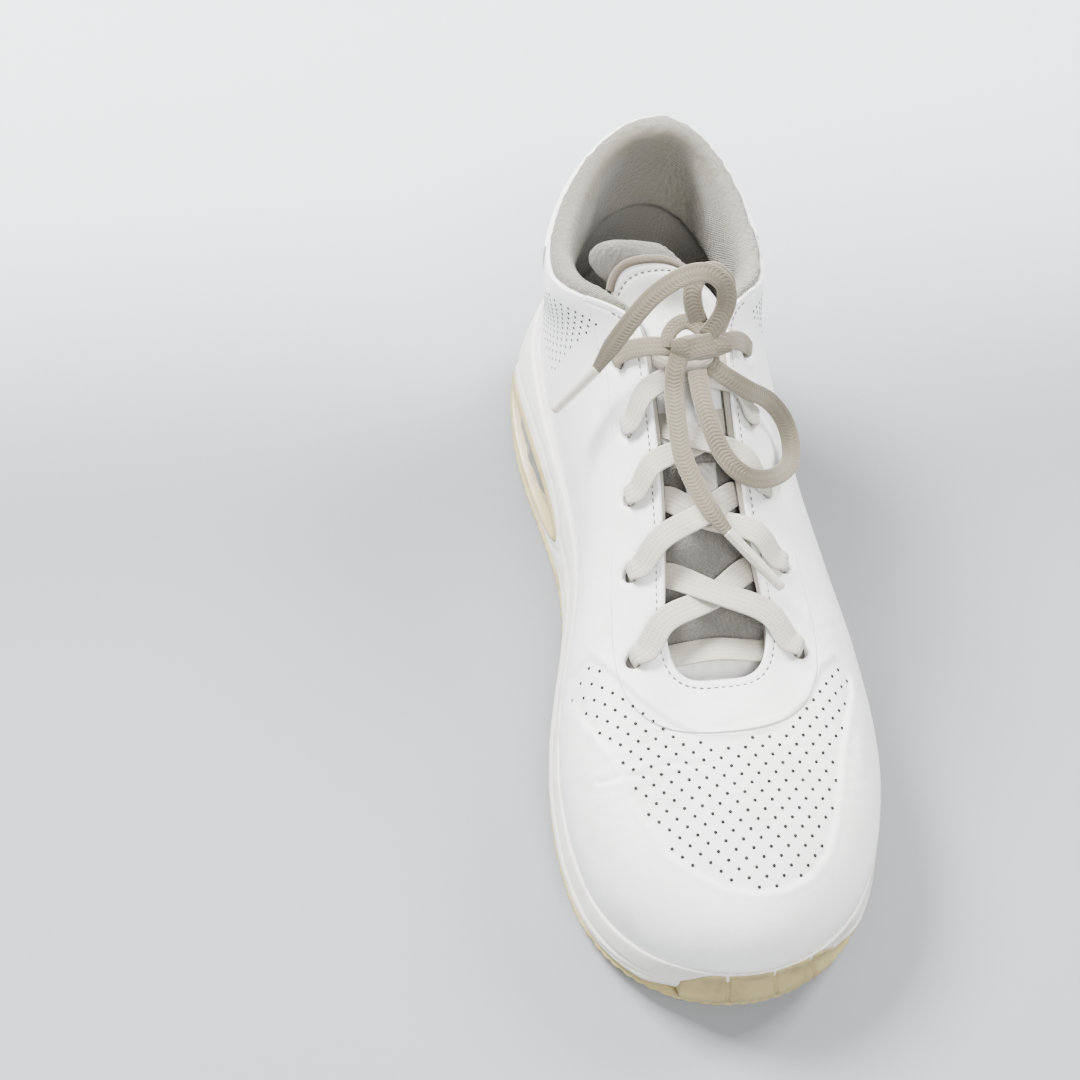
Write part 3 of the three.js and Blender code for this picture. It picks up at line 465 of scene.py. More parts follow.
def punch(obj, holes, radius, depth):
    """Opens round eyelets in a fine sheet: trims to the circle and turns the edge down inside."""
    mesh = bmesh.new()
    mesh.from_mesh(obj.data)
    for centre, normal in holes:
        c, n = Vector(to_world(centre)), Vector(normal)
        r = radius / 1000

        def reach(co):
            d = co - c
            up = d.dot(n)
            return (d - n * up).length if abs(up) < 0.0035 else 1.0
        gone = [f for f in mesh.faces if min(reach(v.co) for v in f.verts) < r]
        ring = {v for f in gone for v in f.verts if reach(v.co) >= r}
        bmesh.ops.delete(mesh, geom=gone, context="FACES")
        edges = [e for e in mesh.edges if e.is_boundary and e.verts[0] in ring and e.verts[1] in ring]
        for v in {v for e in edges for v in e.verts}:
            d = v.co - c
            up = d.dot(n)
            flat = d - n * up
            v.co = c + n * up + flat.normalized() * r
        for drop, scale in ((0.25, 0.93), (1.2, 0.9), (depth, 0.9)):
            made = bmesh.ops.extrude_edge_only(mesh, edges=edges)["geom"]
            for v in (g for g in made if isinstance(g, bmesh.types.BMVert)):
                d = v.co - c
                up = d.dot(n)
                flat = d - n * up
                down = drop / 1000 if scale > 0.92 else depth / 2000
                v.co = c + flat.normalized() * r * scale + n * (up - down)
            edges = [g for g in made if isinstance(g, bmesh.types.BMEdge)]
    bmesh.ops.delete(mesh, geom=[v for v in mesh.verts if not v.link_faces], context="VERTS")
    mesh.to_mesh(obj.data)
    mesh.free()
    obj.data.shade_smooth()


# ---------------------------------------------------------------- finishes
def add_node(tree, kind, inputs=None, **settings):
    """Node with its settings and inputs; an input is a value or a socket to join."""
    node = tree.nodes.new(kind)
    for key, value in settings.items():
        setattr(node, key, value)
    for key, value in (inputs or {}).items():
        if isinstance(value, bpy.types.NodeSocket):
            tree.links.new(value, node.inputs[key])
        else:
            node.inputs[key].default_value = value
    return node


def new_group(name, inputs, outputs):
    """Empty shader group with its sockets, its input node and its output node."""
    group = bpy.data.node_groups.new(name, "ShaderNodeTree")
    for label, kind, value in inputs:
        socket = group.interface.new_socket(name=label, in_out="INPUT", socket_type=kind)
        if value is not None:
            socket.default_value = value
    for label, kind in outputs:
        group.interface.new_socket(name=label, in_out="OUTPUT", socket_type=kind)
    return group, group.nodes.new("NodeGroupInput"), group.nodes.new("NodeGroupOutput")


def maths(tree, operation, *values):
    """Output of a Math node; each value is a number or a socket."""
    return add_node(tree, "ShaderNodeMath", dict(enumerate(values)), operation=operation).outputs[0]


def blotch_group():
    """Mask of soft uneven patches, for grime and yellowing."""
    group, source, sink = new_group("Blotches", [
        ("Vector", "NodeSocketVector", None), ("Scale", "NodeSocketFloat", 40.0),
        ("Cover", "NodeSocketFloat", 0.5),
    ], [("Mask", "NodeSocketFloat")])
    given = source.outputs
    noise = add_node(group, "ShaderNodeTexNoise", {
        "Vector": given["Vector"], "Scale": given["Scale"], "Detail": 5.0, "Roughness": 0.6})
    low = maths(group, "SUBTRACT", 1.0, given["Cover"])
    high = maths(group, "ADD", low, 0.25)
    spread = add_node(group, "ShaderNodeMapRange", {
        "Value": noise.outputs["Fac"], "From Min": low, "From Max": high}, interpolation_type="SMOOTHSTEP")
    group.links.new(spread.outputs["Result"], sink.inputs["Mask"])
    return group


def knit_group():
    """Height of fine knitted rows, from object coordinates."""
    group, source, sink = new_group("Knit rows", [
        ("Vector", "NodeSocketVector", None), ("Scale", "NodeSocketFloat", 700.0),
    ], [("Height", "NodeSocketFloat")])
    where = {"Vector": source.outputs["Vector"], "Scale": source.outputs["Scale"]}
    bands = add_node(group, "ShaderNodeTexWave", {
        **where, "Distortion": 2.5, "Detail": 2.0, "Detail Scale": 3.0}, bands_direction="DIAGONAL")
    fuzz = add_node(group, "ShaderNodeTexNoise", {**where, "Detail": 3.0, "Roughness": 0.75})
    cells = add_node(group, "ShaderNodeTexVoronoi", where)
    mixed = maths(group, "MULTIPLY", bands.outputs["Fac"], fuzz.outputs["Fac"])
    total = maths(group, "SUBTRACT", mixed, cells.outputs["Distance"])
    group.links.new(total, sink.inputs["Height"])
    return group


def braid_group():
    """Height and edge mask of a flat braid, from a map in millimetres along and across the lace."""
    group, source, sink = new_group("Flat braid", [
        ("Vector", "NodeSocketVector", None), ("Pitch", "NodeSocketFloat", 1.1),
        ("Slant", "NodeSocketFloat", 1.0),
        ("Half width", "NodeSocketFloat", 3.0), ("Cross", "NodeSocketFloat", 1.0),
    ], [("Height", "NodeSocketFloat"), ("Edge", "NodeSocketFloat")])
    given = source.outputs
    parts = add_node(group, "ShaderNodeSeparateXYZ", {0: given["Vector"]})
    out = maths(group, "ABSOLUTE", parts.outputs["Y"])
    slanted = maths(group, "MULTIPLY_ADD", out, given["Slant"], parts.outputs["X"])
    turns = maths(group, "DIVIDE", slanted, given["Pitch"])
    wave = maths(group, "SINE", maths(group, "MULTIPLY", turns, 2 * math.pi))
    ribs = maths(group, "COSINE", maths(group, "MULTIPLY", out, 7.0))
    crossed = maths(group, "MULTIPLY", wave, given["Cross"])
    small = maths(group, "MULTIPLY_ADD", ribs, 0.4, crossed)
    share = maths(group, "DIVIDE", out, given["Half width"])
    edge = add_node(group, "ShaderNodeMapRange", {
        "Value": share, "From Min": 0.62, "From Max": 0.95}, interpolation_type="SMOOTHSTEP")
    group.links.new(small, sink.inputs["Height"])
    group.links.new(edge.outputs["Result"], sink.inputs["Edge"])
    return group


def use_group(tree, group, inputs):
    """Puts a shader group into a finish."""
    return add_node(tree, "ShaderNodeGroup", inputs, node_tree=group)


def new_finish(name, color, roughness, **constants):
    """Material with a Principled surface; returns it, its tree, its shader and its coordinates."""
    material = bpy.data.materials.new(name)
    material.use_nodes = True
    tree = material.node_tree
    shader = tree.nodes["Principled BSDF"]
    shader.inputs["Base Color"].default_value = (*color, 1)
    shader.inputs["Roughness"].default_value = roughness
    for key, value in constants.items():
        shader.inputs[key.replace("_", " ")].default_value = value
    coords = add_node(tree, "ShaderNodeTexCoord")
    material.diffuse_color = (*color, 1)
    return material, tree, shader, coords


def mix_color(tree, factor, a, b):
    """Colour between a and b; each is a colour or a socket."""
    node = add_node(tree, "ShaderNodeMix", data_type="RGBA")
    for socket, value in ((node.inputs[0], factor), (node.inputs[6], a), (node.inputs[7], b)):
        if isinstance(value, bpy.types.NodeSocket):
            tree.links.new(value, socket)
        else:
            socket.default_value = value if socket == node.inputs[0] else (*value, 1)
    return node.outputs[2]


def connect(tree, output, shader, label):
    """Joins an output to the named input of the shader."""
    tree.links.new(output, shader.inputs[label])


def bump(tree, shader, height, strength, distance, under=None):
    """Puts a bump under the shader, over another one where that is given."""
    node = add_node(tree, "ShaderNodeBump", {"Height": height, "Strength": strength, "Distance": distance})
    if under is not None:
        tree.links.new(under, node.inputs["Normal"])
    connect(tree, node.outputs["Normal"], shader, "Normal")


def tinted(color, *factors):
    """Colour times one factor, or times one for each channel."""
    return tuple(min(1, c * f) for c, f in zip(color, factors if len(factors) == 3 else factors * 3))


def white_leather(name, color, grime, grain, roughness):
    """Smooth coated leather: pale grime, faint yellowing, fine pores and a satin coat."""
    material, tree, shader, coords = new_finish(
        name, color, roughness, Specular_IOR_Level=0.42, Coat_Weight=0.06, Coat_Roughness=0.3)
    where = coords.outputs["Object"]
    dirt = use_group(tree, BLOTCHES, {"Vector": where, "Scale": 55.0, "Cover": 0.5})
    warm = use_group(tree, BLOTCHES, {"Vector": where, "Scale": 14.0, "Cover": 0.55})
    grimy = maths(tree, "MULTIPLY", dirt.outputs["Mask"], grime)
    yellow = maths(tree, "MULTIPLY", warm.outputs["Mask"], 0.28)
    soiled = mix_color(tree, grimy, color, tinted(color, 0.66, 0.65, 0.63))
    aged = mix_color(tree, yellow, soiled, tinted(color, 1.0, 0.98, 0.93))
    connect(tree, aged, shader, "Base Color")
    pores = add_node(tree, "ShaderNodeTexVoronoi", {
        "Vector": where, "Scale": 1500.0}, feature="DISTANCE_TO_EDGE")
    creases = add_node(tree, "ShaderNodeTexNoise", {
        "Vector": where, "Scale": 260.0, "Detail": 6.0, "Roughness": 0.6})
    height = creases.outputs["Fac"]
    first = add_node(tree, "ShaderNodeBump", {"Height": height, "Strength": grain * 0.7, "Distance": 0.0006})
    bump(tree, shader, pores.outputs["Distance"], grain, 0.0002, first.outputs["Normal"])
    rough = add_node(tree, "ShaderNodeMapRange", {
        "Value": height, "To Min": roughness - 0.07, "To Max": roughness + 0.12})
    connect(tree, rough.outputs["Result"], shader, "Roughness")
    return material


def soft_knit(name, color, scale, fuzz, worn=None):
    """Brushed knit lining, darker where hands and heels have worn it, with painted shade in the hollows of
    the knit and a painted highlight on its raised rows.
    """
    material, tree, shader, coords = new_finish(
        name, color, 0.95, Specular_IOR_Level=0.15, Sheen_Weight=0.35, Sheen_Roughness=0.5)
    where = coords.outputs["Object"]
    rows = use_group(tree, KNIT, {"Vector": where, "Scale": scale})
    wear = use_group(tree, BLOTCHES, {"Vector": where, "Scale": 38.0, "Cover": 0.5})
    # Painted shade and highlight: the colour is darker where the knit rows are low and lighter where they are
    # raised
    knitted = mix_color(tree, rows.outputs["Height"], tinted(color, 0.72), tinted(color, 1.18))
    share = maths(tree, "MULTIPLY", wear.outputs["Mask"], 0.6 if worn else 0.35)
    connect(tree, mix_color(tree, share, knitted, worn or tinted(color, 0.8)), shader, "Base Color")
    bump(tree, shader, rows.outputs["Height"], fuzz, 0.0008)
    return material


def moulded(name, color, roughness, stain, cloudy, coat=None):
    """Moulded foam or rubber with a faint mould texture and stains."""
    material, tree, shader, coords = new_finish(name, color, roughness, **(coat or {}))
    where = coords.outputs["Object"]
    marks = use_group(tree, BLOTCHES, {"Vector": where, "Scale": 70.0, "Cover": 0.5})
    stained = mix_color(tree, maths(tree, "MULTIPLY", marks.outputs["Mask"], cloudy), color, stain)
    connect(tree, stained, shader, "Base Color")
    fine = add_node(tree, "ShaderNodeTexNoise", {"Vector": where, "Scale": 1800.0, "Detail": 2.0})
    bump(tree, shader, fine.outputs["Fac"], 0.25, 0.00015)
    return material


def braided(name, color, half_width, pitch, slant, edge_tint, cross=1.0):
    """Woven lace, lighter along both edges, with painted shade in the low parts of the weave and a painted
    highlight on its ribs.
    """
    material, tree, shader, coords = new_finish(name, color, 0.88, Specular_IOR_Level=0.2, Sheen_Weight=0.2)
    braid = use_group(tree, BRAID, {
        "Vector": coords.outputs["UV"], "Pitch": pitch, "Slant": slant,
        "Half width": half_width, "Cross": cross})
    threads = add_node(tree, "ShaderNodeTexNoise", {
        "Vector": coords.outputs["Object"], "Scale": 2600.0, "Detail": 3.0})
    # Painted shade and highlight: the colour is darker where the braid is low and lighter where it is raised
    weave_shade = add_node(tree, "ShaderNodeMapRange", {
        "Value": braid.outputs["Height"], "From Min": -1.3, "From Max": 1.3})
    body = mix_color(tree, weave_shade.outputs["Result"], tinted(color, 0.8), tinted(color, 1.08))
    edged = mix_color(tree, maths(tree, "MULTIPLY", braid.outputs["Edge"], 0.55), body, edge_tint)
    fuzzy = maths(tree, "MULTIPLY", threads.outputs["Fac"], 0.25)
    connect(tree, mix_color(tree, fuzzy, edged, tinted(color, 0.8)), shader, "Base Color")
    bump(tree, shader, braid.outputs["Height"], 0.35, 0.0003)
    return material


BLOTCHES, KNIT, BRAID = blotch_group(), knit_group(), braid_group()
WHITE = (0.83, 0.83, 0.815)
COATED = {"Coat_Weight": 0.8, "Coat_Roughness": 0.08, "Specular_IOR_Level": 0.6}
CLEAR = {"Coat_Weight": 1.0, "Coat_Roughness": 0.05}
FINISHES = {
    "White leather": (white_leather, WHITE, 0.30, 0.22, 0.42),
    "Vamp leather": (white_leather, WHITE, 0.42, 0.34, 0.46),
    "Eyestay leather": (white_leather, (0.84, 0.84, 0.83), 0.24, 0.2, 0.4),
    "Grey knit lining": (soft_knit, (0.27, 0.255, 0.215), 900.0, 0.8),
    "Brushed collar knit": (soft_knit, (0.31, 0.29, 0.235), 620.0, 0.9, (0.18, 0.155, 0.10)),
    "Tongue fleece": (soft_knit, (0.27, 0.255, 0.215), 800.0, 1.0),
    "Cream lining": (soft_knit, (0.56, 0.51, 0.43), 1200.0, 0.4),
    "Beige binding": (soft_knit, (0.25, 0.21, 0.15), 1500.0, 0.5),
    "Midsole foam": (moulded, (0.70, 0.69, 0.645), 0.5, (0.46, 0.42, 0.33), 0.5),
    "Cream rubber": (moulded, (0.36, 0.30, 0.13), 0.6, (0.15, 0.11, 0.045), 0.7),
    "Window rim": (moulded, (0.40, 0.33, 0.17), 0.35, (0.22, 0.165, 0.06), 0.7),
    "Air bag film": (moulded, (0.11, 0.125, 0.09), 0.12, (0.045, 0.05, 0.035), 0.7, COATED),
    "Lower lace": (braided, (0.47, 0.44, 0.37), 4.1, 1.0, 0.0, (0.60, 0.575, 0.51), 0.22),
    "Bow lace": (braided, (0.19, 0.165, 0.12), 3.0, 1.25, 1.1, (0.34, 0.31, 0.25), 0.6),
    "Tongue label": (braided, (0.5, 0.47, 0.43), 5.0, 1.9, 0.7, (0.6, 0.58, 0.54)),
    "Clear tip": (moulded, (0.55, 0.53, 0.46), 0.08, (0.36, 0.32, 0.24), 0.5, CLEAR),
    # Near-black finish of the perforation discs: painted shade standing in for the inside of each punched
    # hole
    "Dark punch": (moulded, (0.012, 0.011, 0.01), 0.9, (0.06, 0.055, 0.05), 0.5),
    "Stitch thread": (moulded, (0.46, 0.45, 0.43), 0.8, (0.3, 0.29, 0.27), 0.4),
    "Dark stitch": (moulded, (0.10, 0.095, 0.085), 0.8, (0.06, 0.055, 0.05), 0.4),
    "Stiff board": (moulded, (0.52, 0.48, 0.4), 0.85, (0.4, 0.36, 0.3), 0.4),
}
# Finishes whose colour comes from the settings
CHOSEN_COLORS = {
    "White leather": "leather_color", "Vamp leather": "leather_color", "Midsole foam": "foam_color",
    "Cream rubber": "rubber_color", "Lower lace": "lace_color", "Bow lace": "bow_color",
}
finishes = {}


def finish_named(name):
    """One shared finish for each material of the shoe."""
    if name not in finishes:
        maker, color, *values = FINISHES[name]
        if name in CHOSEN_COLORS:
            color = tuple(getattr(bpy.context.scene.shoe, CHOSEN_COLORS[name]))
        finishes[name] = maker(name, color, *values)
    return finishes[name]


# ---------------------------------------------------------------- shape of the leather
CREASES = [
    [(-29, -81, 55), (-18, -80, 57), (-8, -82, 57)],
    [(-43, -81, 50), (-35, -82, 54), (-26, -83, 56)],
]
CRACK = [(35, -39, 61), (39, -37, 58), (45, -31, 51)]


def leather_relief(points, t, h):
    """Extra depth of the leather: sunk vamp, pressed lines, creases and a little unevenness."""
    x, y = points[..., 0], points[..., 1]
    toe = wrap(t) < 6
    d = polygon_distance(x, y, VAMP_PANEL)
    sunk = np.where(toe, smoothstep(0.9, -0.9, d), 0)
    depth = 0.75 * sunk - 0.12 * np.where(toe, np.exp(-((d - 1.5) / 0.9) ** 2), 0)
    for k, line in enumerate(CREASES):
        wavy = points + np.stack([0 * x, 1.2 * soft_noise(points, 18, k), 0 * x], -1)
        near = line_distance(wavy, line)
        depth = depth + 0.42 * np.exp(-(near / 0.55) ** 2) - 0.12 * np.exp(-((near - 1.8) / 1.0) ** 2)
    depth = depth + 0.3 * np.exp(-(line_distance(points, CRACK) / 0.5) ** 2)
    ball = np.exp(-((y + 80) / 17) ** 2)
    stretched = points * np.array([0.35, 1.0, 0.6])
    depth = depth + ball * 0.2 * soft_noise(stretched, 6.5, 1.0) * smoothstep(0.25, 0.5, h)
    return depth + 0.22 * soft_noise(points, 46, 0.4)


PUNCHED_WIDTH = [18, 18, 19, 20, 21, 21, 21, 20, 18, 2]


def overlay_edge(t, extra=0.0):
    """Lower edge of the eyestay as it shows."""
    width = np.interp(wrap(t), range(10), PUNCHED_WIDTH)
    return np.where(wrap(t) > 9, 1.0, below_edge(t, np.maximum(width - extra, 0)))


def column_near(side, y):
    """Place round the throat whose edge lies at that length along the shoe."""
    k = np.arange(1, 9.001, 0.02)
    t = k if side > 0 else 24 - k
    return float(t[np.argmin(np.abs(topline_at(t)[:, 1] - y))])


def eyelet(side, row):
    """Middle and facing of an eyelet, and the throat edge beside it."""
    t = column_near(side, EYELET_ROWS[row])
    h = float(below_edge(t, EYELET_IN)[0])
    return {"point": upper_surface(t, h), "normal": upper_normal(t, h), "edge": upper_surface(t, 1.0)}


EYELETS = {1: [eyelet(1, row) for row in range(5)], -1: [eyelet(-1, row) for row in range(5)]}
HOLES = [(e["point"], e["normal"]) for side in (1, -1) for e in EYELETS[side]]


def eyelet_relief(points, t, h):
    """The eyestay sits proud of the vamp, dips at each eyelet and swells round the top lateral one."""
    depth = 0.15 * soft_noise(points, 30, 2.0) + leather_relief(points, t, h)
    for k, (centre, _) in enumerate(HOLES):
        r = np.linalg.norm(points - centre, axis=-1)
        depth = depth + 0.45 * np.exp(-((r - 2.6) / 1.3) ** 2)
        if k == 0:
            depth = depth - 0.75 * np.exp(-((r - 4.6) / 1.1) ** 2)
    return depth + 0.16 * np.exp(-((edge_distance(t, h) - THROAT_SEAM) / 0.5) ** 2)


def edge_distance(t, h):
    """Rough distance along the leather below the throat edge."""
    top = upper_surface(t, 1.0)
    return np.linalg.norm(upper_surface(t, h) - top, axis=-1)


def uppers():
    """Toe and vamp, both quarters and the heel panel."""
    ts = np.linspace(-5, 5, 313)
    low = np.full(len(ts), FOOT_EDGE)
    grid = leather_grid(ts, low, overlay_edge(ts, 0.6), 120, relief=leather_relief, ends=False)
    bend_piece(open_sheet("Toe and vamp leather", grid), "Vamp leather", "toe_cap", "vamp_panel", "vamp_flex")
    for name, ts, node in (("Lateral quarter leather", np.linspace(5, 10.5, 101), "quarter_lateral"),
                           ("Medial quarter leather", np.linspace(13.5, 19, 101), "quarter_medial")):
        low = np.full(len(ts), FOOT_EDGE)
        high = np.where(wrap(ts) > 9, 0.995, overlay_edge(ts, 0.6))
        grid = leather_grid(ts, low, high, 120, relief=leather_relief, ends=False)
        finish_piece(open_sheet(name, grid), "White leather", "rear_shoe", node)
    ts = np.arange(10.2, 13.8001, 0.05)
    low = np.full(len(ts), FOOT_EDGE)
    high = np.full(len(ts), 0.995)
    uneven = lambda p, t, h: 0.2 * soft_noise(p, 40, 0.9)
    grid = leather_grid(ts, low, high, 100, thickness=1.7, start=-0.75, relief=uneven)
    finish_piece(open_sheet("Heel panel leather", grid), "White leather", "rear_shoe", "heel_panel")


def eyestays():
    """Eyestay leather with its ten punched eyelets, and the cream facing below it."""
    ts = np.arange(-9, 9.0001, 0.032)
    low, high = overlay_edge(ts), np.ones(len(ts))
    grid = leather_grid(ts, low, high, 44, thickness=1.0, start=-0.14, roll=0.2, relief=eyelet_relief)
    obj = open_sheet("Eyestay leather", grid)
    punch(obj, HOLES, EYELET_RADIUS, 2.2)
    bend_piece(obj, "Eyestay leather", "eyestay")
    for name, side in (("lateral", 1), ("medial", -1)):
        ts = np.arange(0.3, 8.2, 0.05)
        ts = ts if side > 0 else 24 - ts[::-1]
        low, high = overlay_edge(ts, 5.0), np.full(len(ts), 0.996)
        grid = leather_grid(ts, low, high, 36, thickness=2.1, start=1.2)
        obj = open_sheet(f"Eyestay facing {name}", grid)
        punch(obj, [(e["point"] - 1.4 * e["normal"], e["normal"]) for e in EYELETS[side]], 3.1, 1.6)
        bend_piece(obj, "Cream lining", f"eyestay_facing_{name}")


COLLAR_LOW = 0.47
COLLAR_SECTION = [  # height up the leather, depth inside it and rise above its edge in mm
    (0.90, 1.9, 0), (0.97, 1.5, 0), (1, 1.0, 0.6), (1, 1.7, 2.5), (1, 4.8, 3.4), (1, 7.4, 2.8), (1, 9.2, 0.6),
    (0.94, 9.8, 0), (0.84, 9.3, 0), (0.72, 8.4, 0), (0.58, 7.6, 0), (0.49, 6.4, 0), (0.47, 4.4, 0),
    (0.5, 2.5, 0), (0.62, 2.0, 0), (0.77, 1.9, 0),
]


def linings():
    """Cream fabric inside the toe and quarters."""
    for name, t0, t1, nodes in (("Vamp lining", -5, 5, ("vamp_lining",)),
                                ("Quarter lining lateral", 5, 12, ("quarter_lining_lateral",)),
                                ("Quarter lining medial", 12, 19, ("quarter_lining_medial",))):
        ts = np.arange(t0, t1 + 0.001, 0.1)
        low = np.full(len(ts), FOOT_EDGE)
        high = 0.992 + (COLLAR_LOW + 0.02 - 0.992) * smoothstep(8, 9, wrap(ts))
        uneven = lambda p, t, h: 0.25 * soft_noise(p, 25, 1.3)
        grid = leather_grid(ts, low, high, 60, thickness=-0.9, start=3.7, relief=uneven, ends=False)
        bend_piece(open_sheet(name, grid, flip=True), "Grey knit lining", *nodes)


def collar():
    """Padded knit collar, one closed roll from throat to throat round the heel."""
    loop = closed_spline(COLLAR_SECTION)(np.linspace(0, len(COLLAR_SECTION), 56, endpoint=False))
    ends = np.linspace(7.6, 8.4, 9)[:-1], np.linspace(15.6, 16.3, 9)[1:]
    ts = np.concatenate([ends[0], np.linspace(8.4, 15.6, 145), ends[1]])
    rings = []
    for t in ts:
        s = smoothstep(7.55, 9.6, t) * smoothstep(16.35, 14.4, t)
        fat = 0.42 + 0.58 * s
        h = np.where(loop[:, 0] > 1, 1, loop[:, 0])
        h = 1 - (1 - h) * (0.16 + 0.84 * s)
        depth = 1.5 + (loop[:, 1] - 1.5) * fat
        notch = 0.9 * math.exp(-((t - 12) / 0.12) ** 2) * (loop[:, 2] > 1)
        rise = np.maximum(loop[:, 2], 0) * (0.55 + 0.45 * s) - notch
        here = np.full(len(h), t)
        ring = upper_point(here, np.clip(h, 0, 1), depth) + UP * rise[:, None]
        uneven = -0.25 * soft_noise(ring, 16, 0.3)
        ring = ring + upper_normal(here, np.full(len(h), 0.9)) * uneven[:, None]
        rings.append(ring)
    rings = np.array(rings)
    faces, first, last = tube_faces(*rings.shape[:2])
    faces += [first, last[::-1]]
    obj = flip_if_inside_out(make_mesh("Padded collar", rings.reshape(-1, 3), faces))
    plump(obj, 0.0008)
    finish_piece(obj, "Brushed collar knit", "rear_shoe", "collar_foam", "collar_lining")


# ---------------------------------------------------------------- tongue
def tongue_rows():
    """Rows of nine points across the tongue, from the throat up to its free end."""
    rows = []
    for k in (1.5, 2, 3, 4, 5, 6, 7, 8):
        low = 0.84 + (0.82 - 0.84) * (k - 1.5) / 6.5
        depth = 9.5 - 2.5 * smoothstep(2, 4, k)
        right = [upper_point(k, h, depth) for h in (low, (low + 1) / 2, 1.0)]
        left = [upper_point(24.0 - k, h, depth) for h in (1.0, (low + 1) / 2, low)]
        crest = (right[2] + left[0]) / 2 + UP
        rows.append(spaced(right + [crest] + left, 9))
    s = 1 - 2 * np.arange(9) / 8
    for centre, half, drop, back in (((-7, 64, 114.5), 16, 7, 2), ((-14, 72.5, 121), 17, 8, 3)):
        rows.append(np.stack([centre[0] + half * s, centre[1] + back * s * s, centre[2] - drop * s * s], -1))
    return np.array(rows)


TONGUE = tongue_rows()


def tongue_surface(u, v):
    """Point on the front of the tongue: u counts rows up, v runs across from lateral to medial."""
    u, v = np.broadcast_arrays(np.asarray(u, float), np.asarray(v, float))
    flat_u, flat_v = u.ravel(), v.ravel()
    columns = np.stack([catmull(TONGUE[:, j], flat_u / 9) for j in range(9)], 1)
    i = np.clip(flat_v.astype(int), 0, 7)
    f = (flat_v - i)[:, None]
    take = lambda k: columns[np.arange(len(i)), np.clip(i + k, 0, 8)]
    a, b, c, d = take(-1), take(0), take(1), take(2)
    a = np.where((i == 0)[:, None], 2 * b - c, a)
    d = np.where((i == 7)[:, None], 2 * c - b, d)
    p = through(a, b, c, d, f)
    p = p + np.minimum(flat_u, 0)[:, None] * np.array([0, 9.0, 1.5])
    return p.reshape(u.shape + (3,))


def tongue_out(u, v):
    """Direction out of the front of the tongue."""
    e = 0.02
    up = tongue_surface(np.clip(u + e, 0, 9), v) - tongue_surface(np.clip(u - e, -1, 9), v)
    over = tongue_surface(u, np.clip(v + e, 0, 8)) - tongue_surface(u, np.clip(v - e, 0, 8))
    return unit(np.cross(up, over))


def tongue_point(u, v, depth):
    """Point that deep inside the front of the tongue."""
    depth = np.broadcast_to(depth, np.broadcast(u, v).shape)
    return tongue_surface(u, v) - tongue_out(u, v) * depth[..., None]


def tongue_patch(u_low, u_high, v0, v1, rows, cols, lift, thickness, relief=None):
    """Piece of sheet on the tongue with its edges turned down."""
    v = np.linspace(v0, v1, cols)[:, None]
    s = np.linspace(0, 1, rows)[None]
    low, high = u_low(v), u_high(v)
    u = low + (high - low) * s
    depth = np.full(u.shape, -lift)
    if relief is not None:
        depth = depth + relief(u, np.broadcast_to(v, u.shape))
    u = np.concatenate([u[:, :1], u, u[:, -1:]], 1)
    depth = np.concatenate([depth[:, :1] + thickness, depth, depth[:, -1:] + thickness], 1)
    depth[:, 1] += 0.2
    depth[:, -2] += 0.2
    u = np.concatenate([u[:1], u, u[-1:]])
    v = np.concatenate([v[:1], v, v[-1:]])
    depth = np.concatenate([depth[:1] + thickness, depth, depth[-1:] + thickness])
    return tongue_point(u, np.broadcast_to(v, u.shape), depth)


